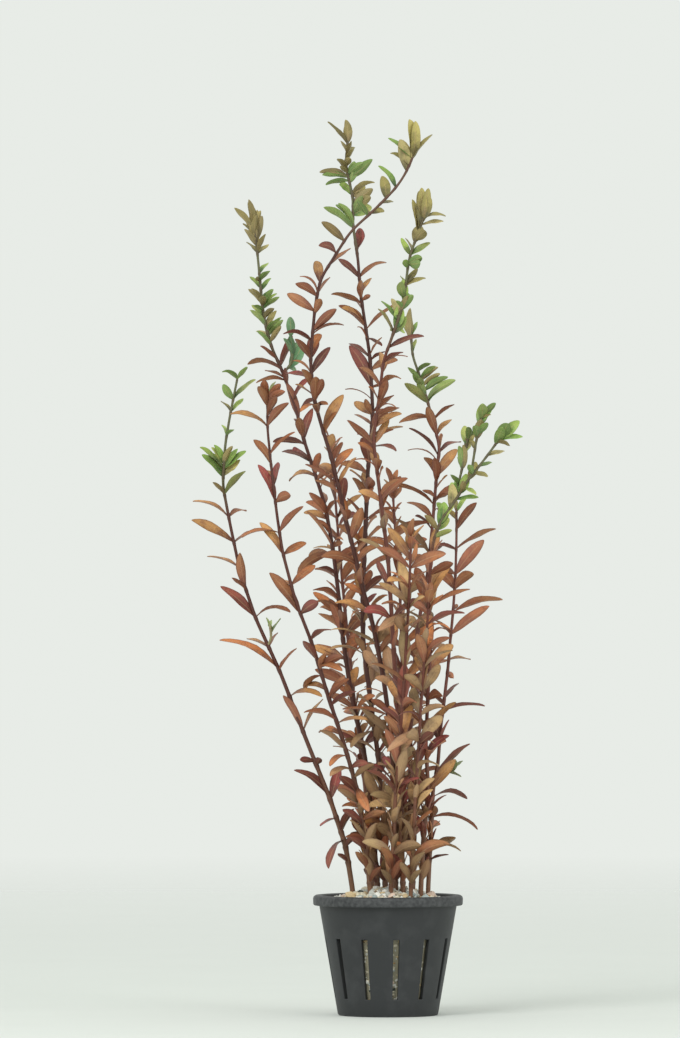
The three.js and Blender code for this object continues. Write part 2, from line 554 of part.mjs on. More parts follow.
// The steep small pairs that close a shoot's tip
function crownOf(shoot, line, seed) {
  const [pairs, length] = shoot.crown ?? [0, 0];
  const top = line.at(-1).z;
  const leaves = [];
  for (let i = pairs - 1; i >= 0; i--)
    for (const partner of [0, 1]) {
      const a = spread(seed * 17 + i * 2 + partner);
      const z = top - CROWN.below - CROWN.spacing * i;
      leaves.push({
        ...along(line, z),
        z,
        turn: seed * 40 + 92 * i + 180 * partner + a * 20,
        length: length * (1.05 - 0.1 * i * a),
        width: length * CROWN.slender * (0.85 + 0.3 * a),
        rise: CROWN.rise - CROWN.spread * i + 6 * a,
        droop: CROWN.droop * (0.6 + a),
        roll: (a - 0.5) * 60,
      });
    }
  return leaves;
}

// The leaves of one shoot before any gives way: those listed first, since the plain ones give way to them
function leavesOf(shoot, line, seed) {
  const listed = (shoot.seen ?? []).map((row, i) => seenLeaf(shoot, line, row, seed * 101 + i * 3));
  const pairs = [...(shoot.pairs ?? []), ...(shoot.every ? nodesEvery(shoot.every) : [])];
  const plain = pairs.flatMap(([z, turn], i) => pairAt(shoot, line, z, turn, seed * 7 + i * 2));
  const dress = (leaf) => ({
    ...leaf,
    shoot: shoot.name,
    root: leaf.point,
    out: headingAt(leaf.growth, leaf.turn),
  });
  return { listed: listed.map(dress), plain: [...plain, ...crownOf(shoot, line, seed)].map(dress) };
}

// The leaves that find room. One that touches something turns aside, then grows shorter, then is shed.
function settle(wanted, balls) {
  const choices = [...TRIES.map((turn) => [turn, 1]), ...SHORT_TRIES.map((turn) => [turn, SHORTENED])];
  const kept = [];
  for (const leaf of wanted)
    for (const [turn, size] of choices) {
      const tried = turned(leaf, turn, size);
      const feelers = feelersOf(tried);
      if (!isClear(tried, feelers, balls)) continue;
      kept.push(tried);
      balls.push(...feelers.map((feeler) => ({ ...feeler, shoot: leaf.shoot, z: leaf.z })));
      break;
    }
  return kept;
}

// Balls up a stem that the leaves of other shoots keep clear of
function ballsOf(line, shoot) {
  const tip = line.at(-1).z;
  const balls = [];
  for (let z = line[0].z; z < tip; z += BALL_STEP)
    balls.push({ at: along(line, z).point, reach: stemRadius(tip, z) + LEAF_ROOM / 2, shoot: shoot.name });
  return balls;
}

// The rings of a stem: one at each node, turned so that a side looks where its first leaf heads, and one at
// each bend. A leaf shares the node just under it if the side that looks its way is free there.
function ringsOf(line, leaves) {
  const rings = [];
  for (const leaf of [...leaves].sort((a, b) => a.z - b.z)) {
    const last = rings.at(-1);
    const side = last && (Math.round((leaf.turn - last.turn) / 90) + SIDES * 4 - 1) % SIDES;
    if (last && leaf.z - last.z < NODE_MERGE && !last.onSide.has(side)) last.onSide.set(side, leaf);
    else {
      const z = last ? Math.max(leaf.z, last.z + NODE_STEP) : leaf.z;
      rings.push({ z, turn: leaf.turn, onSide: new Map([[SIDES - 1, leaf]]) });
    }
  }
  const bends = line.filter((p, i) =>
    i === 0 || i === line.length - 1 || rings.every((ring) => Math.abs(ring.z - p.z) > KINK_ROOM));
  rings.push(...bends.map((p) => ({ z: p.z, onSide: new Map() })));
  rings.sort((a, b) => a.z - b.z);
  let turn = rings.find((ring) => ring.onSide.size).turn;
  for (const ring of rings) {
    turn = ring.turn ??= turn;
    const { point, growth } = along(line, ring.z);
    ring.corners = cornersRound(point, growth, turn, 0.5, stemRadius(line.at(-1).z, ring.z));
  }
  return rings;
}

// A point of a leaf, moved out from its own stem if it lies nearer to it than the room given
function besideStem(leaf, point, room) {
  const lack = room - point.clone().sub(leaf.root).dot(leaf.out);
  return lack > 0 ? point.addScaledVector(leaf.out, lack) : point;
}

// The order of a leaf's middle corners that twists it least on the way there from the corners of its foot
function leastTwisted(foot, middle, points) {
  const orders = middle.map((_, shift) => middle.map((_, i) => middle[(i + shift) % middle.length]));
  const twist = (order) => order.reduce((sum, p, i) => sum + points[p].distanceToSquared(points[foot[i]]), 0);
  return orders.reduce((best, order) => (twist(order) < twist(best) ? order : best));
}

// The least height of a triangle over any of its sides
function leastHeight(a, b, c) {
  const doubled = b.clone().sub(a).cross(c.clone().sub(a)).length();
  return doubled / Math.max(a.distanceTo(b), b.distanceTo(c), c.distanceTo(a));
}

// Two triangles over a twisted patch of four corners: folded outward, unless that leaves one of them too
// narrow
function foldedPatch([a, b, c, d], points) {
  const normal = points[b].clone().sub(points[a]).cross(points[c].clone().sub(points[a]));
  const isOutward = points[d].clone().sub(points[a]).dot(normal) < 0;
  const folds = [[[a, b, c], [a, c, d]], [[a, b, d], [b, c, d]]];
  const [outer, inner] = isOutward ? folds : folds.reverse();
  const height = (fold) => Math.min(...fold.map((face) => leastHeight(...face.map((p) => points[p]))));
  return height(outer) < NARROW && height(inner) > height(outer) ? inner.flat() : outer.flat();
}

// One shoot as a closed shell: four-sided walls between its rings, and leaves drawn out of notches under
// its nodes
function shootGeometry(line, leaves) {
  const rings = ringsOf(line, leaves);
  const points = rings.flatMap((ring) => ring.corners);
  const faces = [];
  const add = (p) => points.push(p) - 1;
  const wrap = (i) => ((i % SIDES) + SIDES) % SIDES;
  const corner = (ring, i) => ring * SIDES + wrap(i);
  faces.push(...[0, 2, 1, 0, 3, 2].map((i) => corner(0, i)));
  for (let i = 1; i < rings.length; i++) {
    const shift = -Math.round((rings[i].turn - rings[i - 1].turn) / 90);
    for (let j = 0; j < SIDES; j++) {
      const [a, b] = [corner(i - 1, j), corner(i - 1, j + 1)];
      const [c, d] = [corner(i, j + shift), corner(i, j + 1 + shift)];
      const leaf = rings[i].onSide.get(wrap(j + shift));
      if (!leaf) {
        faces.push(a, b, d, a, d, c);
        continue;
      }
      const lip = points[c].clone().lerp(points[d], 0.5);
      const below = points[a].clone().lerp(points[b], 0.5);
      const notch = add(lip.clone().lerp(below, Math.min(NOTCH_SHARE, NOTCH / lip.distanceTo(below))));
      faces.push(a, b, notch, b, d, notch, a, notch, c);
      const { point, side, face } = leafAt(leaf, LEAF_MIDDLE);
      const half = leafWidth(leaf, LEAF_MIDDLE) * BLADE_HALF;
      const room = stemRadius(line.at(-1).z, rings[i].z) + STEM_ROOM;
      const tip = add(besideStem(leaf, leafAt(leaf, 1).point, room + STEM_ROOM));
      const corners = [[side, half], [face, -LEAF_THICKNESS], [side, -half]].map(([way, reach]) =>
        add(besideStem(leaf, point.clone().addScaledVector(way, reach), room)));
      const foot = [c, notch, d];
      const middle = leastTwisted(foot, corners, points);
      for (let k = 0; k < foot.length; k++) {
        const next = (k + 1) % foot.length;
        faces.push(...foldedPatch([foot[k], foot[next], middle[next], middle[k]], points));
        faces.push(middle[k], middle[next], tip);
      }
    }
  }
  faces.push(...[0, 1, 2, 0, 2, 3].map((i) => corner(rings.length - 1, i)));
  return shellOf(points, faces);
}

// A plain rod of a stem's size along part of its line, grown all round, that bores the stem's hole
function boreGeometry(line, tip, extra) {
  const points = line.flatMap((p) => {
    const radius = (stemRadius(tip, p.z) + extra) * Math.SQRT2;
    return cornersRound(p, along(line, p.z).growth, 0, 0, radius);
  });
  const faces = [0, 2, 1, 0, 3, 2];
  for (let i = 1; i < line.length; i++)
    for (let j = 0; j < SIDES; j++) {
      const [a, b] = [(i - 1) * SIDES + j, (i - 1) * SIDES + ((j + 1) % SIDES)];
      faces.push(a, b, b + SIDES, a, b + SIDES, a + SIDES);
    }
  const last = (line.length - 1) * SIDES;
  faces.push(last, last + 1, last + 2, last, last + 2, last + 3);
  return shellOf(points, faces);
}

// A manifold-3d solid of a closed geometry, turned right side out
function solid(geometry) {
  const bare = new THREE.BufferGeometry();
  bare.setAttribute("position", geometry.getAttribute("position"));
  bare.setIndex(geometry.index);
  const merged = mergeVertices(bare, 1e-4);
  const vertProperties = new Float32Array(merged.attributes.position.array);
  const triVerts = new Uint32Array(merged.index.array);
  const made = new wasm.Manifold(new wasm.Mesh({ numProp: 3, vertProperties, triVerts }));
  if (made.volume() > 0) return made;
  for (let i = 0; i < triVerts.length; i += 3)
    [triVerts[i + 1], triVerts[i + 2]] = [triVerts[i + 2], triVerts[i + 1]];
  return new wasm.Manifold(new wasm.Mesh({ numProp: 3, vertProperties, triVerts }));
}

// A solid's faces as a geometry
function geometryOf(body) {
  const data = body.getMesh();
  const geometry = new THREE.BufferGeometry();
  geometry.setAttribute("position", new THREE.Float32BufferAttribute(data.vertProperties, 3));
  geometry.setIndex([...data.triVerts]);
  return geometry;
}

// A named mesh with flat faces
function meshOf(name, geometry, colour, roughness) {
  const flat = geometry.toNonIndexed();
  flat.computeVertexNormals();
  const material = new THREE.MeshStandardMaterial({ color: colour, roughness, metalness: 0 });
  const mesh = new THREE.Mesh(flat, material);
  mesh.name = name;
  return mesh;
}

// The radius of the pot's inside at a height
function insideRadius(z) {
  const share = (z - POT_FLOOR) / (POT_HEIGHT - LIP - POT_FLOOR);
  return POT_FOOT_RADIUS - POT_WALL + (POT_TOP_RADIUS - POT_FOOT_RADIUS) * share;
}

// The pot: a tapered cup with a turned-down rim, a flat floor and narrow slots round its lower wall
function potSolid() {
  const profile = [
    [0, 0],
    [POT_FOOT_RADIUS, 0],
    [POT_TOP_RADIUS, POT_HEIGHT - RIM_DROP + LIP / 2],
    [POT_RIM_RADIUS - LIP / 4, POT_HEIGHT - RIM_DROP],
    [POT_RIM_RADIUS, POT_HEIGHT - LIP],
    [POT_RIM_RADIUS - LIP, POT_HEIGHT],
    [insideRadius(POT_HEIGHT) + LIP / 2, POT_HEIGHT],
    [insideRadius(POT_HEIGHT - LIP), POT_HEIGHT - LIP],
    [insideRadius(POT_FLOOR), POT_FLOOR],
    [0, POT_FLOOR],
  ].map(([r, z]) => new THREE.Vector2(r, z));
  let cup = solid(new THREE.LatheGeometry(profile, POT_SIDES).rotateX(Math.PI / 2));
  for (let i = 0; i < SLOT_COUNT; i++) {
    const cutter = new THREE.BoxGeometry(14, SLOT_WIDTH, SLOT_HIGH - SLOT_LOW);
    cutter.translate(POT_FOOT_RADIUS + 2, 0, (SLOT_HIGH + SLOT_LOW) / 2);
    cutter.rotateZ(((i + 0.25) / SLOT_COUNT) * 2 * Math.PI);
    cup = cup.subtract(solid(cutter));
  }
  return cup;
}

// How high the gravel stands at a distance from the middle
function gravelHeight(level) {
  return GRAVEL_CROWN - (GRAVEL_CROWN - GRAVEL_EDGE) * (level / insideRadius(GRAVEL_EDGE)) ** 2;
}

// The gravel: a filling that mounds above the rim, with pebbles fused to its top and a hole for each stem's
// foot
function gravelSolid(stemLines) {
  const low = POT_FLOOR + GAP;
  const edge = insideRadius(GRAVEL_EDGE) - GAP;
  const profile = [
    [0, low],
    [insideRadius(low) - GAP, low],
    [edge, GRAVEL_EDGE],
    [edge * 0.6, gravelHeight(edge * 0.6)],
    [0, GRAVEL_CROWN],
  ].map(([r, z]) => new THREE.Vector2(r, z));
  let bed = solid(new THREE.LatheGeometry(profile, POT_SIDES).rotateX(Math.PI / 2));
  for (let i = 0; i < PEBBLE_COUNT; i++) {
    const level = Math.sqrt((i + 0.5) / PEBBLE_COUNT) * (edge - PEBBLE_LARGE * 1.2);
    const angle = i * Math.PI * (3 - Math.sqrt(5));
    const size = mix(PEBBLE_SMALL, PEBBLE_LARGE, spread(i * 3 + 1));
    const pebble = new THREE.OctahedronGeometry(size, 0);
    pebble.rotateX(spread(i) * 6).rotateY(spread(i + 7) * 6).scale(1.15, 1, 0.8);
    pebble.translate(level * Math.cos(angle), level * Math.sin(angle), gravelHeight(level) - 0.1 * size);
    bed = bed.add(solid(pebble));
  }
  for (const line of stemLines) {
    const foot = line[0].clone();
    foot.z -= GAP;
    bed = bed.subtract(solid(boreGeometry([foot, ...line.slice(1, 3)], line.at(-1).z, GAP)));
  }
  return bed;
}

// Every shoot, stems first so that all leaves keep clear of all stems
const shoots = [...STEMS, ...SIDE_SHOOTS];
const lines = new Map();
for (const shoot of shoots) lines.set(shoot.name, lineOf(shoot, lines));
const balls = shoots.flatMap((shoot) => ballsOf(lines.get(shoot.name), shoot));

const root = new THREE.Group();
root.add(meshOf("pot", geometryOf(potSolid()), COLOURS.pot, 0.5));
const bed = gravelSolid(STEMS.map((stem) => lines.get(stem.name)));
root.add(meshOf("gravel", geometryOf(bed), COLOURS.gravel, 0.8));
const grown = new Map(shoots.map((shoot, i) => [shoot, leavesOf(shoot, lines.get(shoot.name), i + 1)]));
const listed = new Map(shoots.map((shoot) => [shoot, settle(grown.get(shoot).listed, balls)]));
for (const shoot of shoots) {
  const leaves = [...listed.get(shoot), ...settle(grown.get(shoot).plain, balls)];
  const isGreen = !shoot.path || GREEN_STEMS.includes(shoot.name);
  const colour = isGreen ? COLOURS.young : COLOURS.stem;
  root.add(meshOf(shoot.name, shootGeometry(lines.get(shoot.name), leaves), colour, 0.6));
}

export default root;
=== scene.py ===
"""A potted bunch of rotala, an aquarium stem plant, dressed for its picture.

Leafy brown-red stems with green tips stand in pale gravel in a small plain slotted pot. Lengths are in
millimetres until a mesh is made. +Z is up, -Y is towards the viewer, and the origin is the middle of the
pot's flat underside.
"""

import json
import logging
import math
from collections.abc import Iterator, Sequence
from dataclasses import dataclass, field, replace
from enum import Enum

import bpy
import numpy as np
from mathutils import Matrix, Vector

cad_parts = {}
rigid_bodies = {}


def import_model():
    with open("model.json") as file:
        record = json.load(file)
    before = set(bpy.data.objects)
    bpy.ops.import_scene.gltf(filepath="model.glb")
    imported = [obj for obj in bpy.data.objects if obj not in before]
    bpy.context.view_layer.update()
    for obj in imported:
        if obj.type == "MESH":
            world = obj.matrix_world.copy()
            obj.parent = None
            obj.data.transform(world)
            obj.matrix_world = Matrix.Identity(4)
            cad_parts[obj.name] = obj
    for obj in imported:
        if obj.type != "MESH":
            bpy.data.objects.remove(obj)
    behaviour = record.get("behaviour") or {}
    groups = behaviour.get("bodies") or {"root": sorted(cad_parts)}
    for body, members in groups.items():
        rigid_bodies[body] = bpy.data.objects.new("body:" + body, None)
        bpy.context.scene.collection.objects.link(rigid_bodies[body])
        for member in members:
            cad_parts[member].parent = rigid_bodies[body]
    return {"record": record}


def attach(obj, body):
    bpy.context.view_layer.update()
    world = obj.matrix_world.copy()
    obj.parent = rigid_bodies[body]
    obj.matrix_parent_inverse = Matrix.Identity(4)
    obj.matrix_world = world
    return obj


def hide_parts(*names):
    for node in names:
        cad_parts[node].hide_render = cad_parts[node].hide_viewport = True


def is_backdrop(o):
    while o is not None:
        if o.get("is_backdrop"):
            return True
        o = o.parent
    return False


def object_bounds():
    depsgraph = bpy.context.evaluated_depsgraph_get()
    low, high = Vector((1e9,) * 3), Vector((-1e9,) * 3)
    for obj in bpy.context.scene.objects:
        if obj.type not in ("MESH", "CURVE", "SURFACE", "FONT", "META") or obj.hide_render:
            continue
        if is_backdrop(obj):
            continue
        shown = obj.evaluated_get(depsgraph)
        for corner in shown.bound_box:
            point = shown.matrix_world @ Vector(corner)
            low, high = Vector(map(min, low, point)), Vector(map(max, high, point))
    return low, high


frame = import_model()
CAD_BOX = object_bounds()

LOG = logging.getLogger("rotala")
METRES = 0.001
GOLDEN = 0.6180339887498949
Array = np.ndarray
Colour = tuple[float, float, float]


def linear(*levels: int) -> Colour:
    """Turns a colour as a screen shows it into the amounts of light it stands for.

    Args:
        levels: Red, green and blue from 0 to 255.

    Returns:
        Three shares of light: ((level/255 + 0.055)/1.055)^2.4, or level/255/12.92 where dark.
    """
    shares = [level / 255 for level in levels]
    return tuple(s / 12.92 if s <= 0.04045 else ((s + 0.055) / 1.055) ** 2.4 for s in shares)


def shades(*colours: tuple[int, int, int]) -> tuple[Colour, ...]:
    """Turns several screen colours into amounts of light."""
    return tuple(linear(*colour) for colour in colours)


def spread(n: float) -> float:
    """Gives an even spread of numbers from 0 to 1: the fractional part of n golden ratios."""
    value = n * GOLDEN
    return value - math.floor(value)


def clamp01(value: float) -> float:
    """Limits a number to the range from 0 to 1."""
    return min(1.0, max(0.0, value))


def blend(start: Array | float, end: Array | float, share: Array | float) -> Array | float:
    """Goes a share of the way from one value to another: start + (end - start)·share."""
    return start + (end - start) * share


def unit(vector: Array) -> Array:
    """Scales vectors, which lie along the last axis, to length 1."""
    return vector / np.linalg.norm(vector, axis=-1, keepdims=True)


def full_turn(count: int) -> Array:
    """Gives evenly spaced angles round a circle, in radians."""
    return np.arange(count) / count * 2 * np.pi


def round_axis(level: Array, angle: Array, z: Array) -> Array:
    """Gives the points at some distances, angles and heights: (level·cos angle, level·sin angle, z)."""
    return np.stack(np.broadcast_arrays(level * np.cos(angle), level * np.sin(angle), z), axis=-1)


@dataclass(frozen=True)
class Palette:
    """The colours of one kind of growth.

    The inner and outer part of a leaf are each drawn from a few. Its underside has one of its own, and so
    has the stalk where the kind gives a stalk its colour.
    """

    inner: tuple[Colour, ...]
    outer: tuple[Colour, ...]
    under: Colour
    stalk: Colour | None = None


class Growth(Enum):
    """Kinds of growth: old leaves are RUST, MAROON or TAN, and a shoot's young ones are of another kind."""

    RUST = Palette(
        shades((132, 82, 58), (118, 73, 54), (146, 99, 70), (110, 70, 54)),
        shades((183, 114, 66), (168, 107, 66), (192, 140, 84), (152, 98, 62), (178, 132, 80)),
        linear(146, 90, 72),
        linear(104, 58, 47),
    )
    MAROON = Palette(
        shades((96, 57, 49), (108, 63, 53), (88, 53, 47)),
        shades((138, 76, 61), (122, 69, 57), (148, 72, 66)),
        linear(116, 71, 60),
    )
    TAN = Palette(
        shades((128, 100, 72), (138, 110, 78), (118, 94, 72)),
        shades((170, 136, 94), (186, 152, 104), (154, 117, 84), (168, 125, 90), (148, 124, 86)),
        linear(152, 120, 92),
    )
    OLIVE = Palette(
        shades((118, 110, 70), (130, 120, 76), (104, 100, 64), (140, 124, 84)),
        shades((176, 164, 94), (160, 150, 86), (184, 170, 112), (148, 138, 80)),
        linear(146, 130, 88),
        linear(94, 66, 50),
    )
    GREEN = Palette(
        shades((70, 112, 56), (88, 130, 60), (64, 98, 54), (102, 122, 62)),
        shades((164, 188, 92), (142, 174, 80), (174, 182, 100), (130, 160, 74)),
        linear(128, 152, 92),
        linear(94, 94, 66),
    )
    TEAL = Palette(
        shades((80, 122, 84), (92, 134, 94)),
        shades((108, 152, 102), (122, 162, 116)),
        linear(108, 140, 102),
        linear(112, 120, 86),
    )
    PALE = Palette(
        shades((134, 162, 98), (122, 150, 88)),
        shades((178, 196, 132), (164, 186, 116)),
        linear(158, 170, 124),
        linear(150, 144, 106),
    )


@dataclass(frozen=True)
class Shoot:
    """One stem or side shoot, with the same numbers as in the frame's own source.

    A stem runs through path, rows of [x, z], and depth is its y at the gravel and at its tip. A side shoot
    leaves parent at the height at, and runs through reach, rows of [x, y, z] from there. Single leaves are
    listed in seen, as [height, across, up, width, arch], where across and up lead to the leaf's tip as seen
    from the front. Plain opposite pairs are listed in pairs, as [height, turn], or made by rule from every,
    as [lowest, highest, first turn]. The crown is the tip's [pairs, leaf length]. Leaves above green are
    small.

    The rest is the picture's alone. The tuft lists more leaves like seen, too close-set for the frame, and
    filled makes small ones by rule, as [lowest, highest, step]. Young colours start at flush, or else at
    green. They are those of growth, and near the top those of tip if it is given. The stalk's old colour is
    multiplied by bark.
    """

    name: str
    depth: Sequence[float] = (0.0, 0.0)
    path: Sequence[Sequence[float]] = ()
    parent: str = ""
    at: float = 0.0
    reach: Sequence[Sequence[float]] = ()
    seen: Sequence[Sequence[float]] = ()
    pairs: Sequence[Sequence[float]] = ()
    every: Sequence[float] = ()
    crown: Sequence[float] = (0, 0.0)
    green: float = math.inf
    tuft: Sequence[Sequence[float]] = ()
    filled: Sequence[Sequence[float]] = ()
    flush: float = 0.0
    growth: Growth = Growth.OLIVE
    tip: Growth | None = None
    bark: float = 1.0


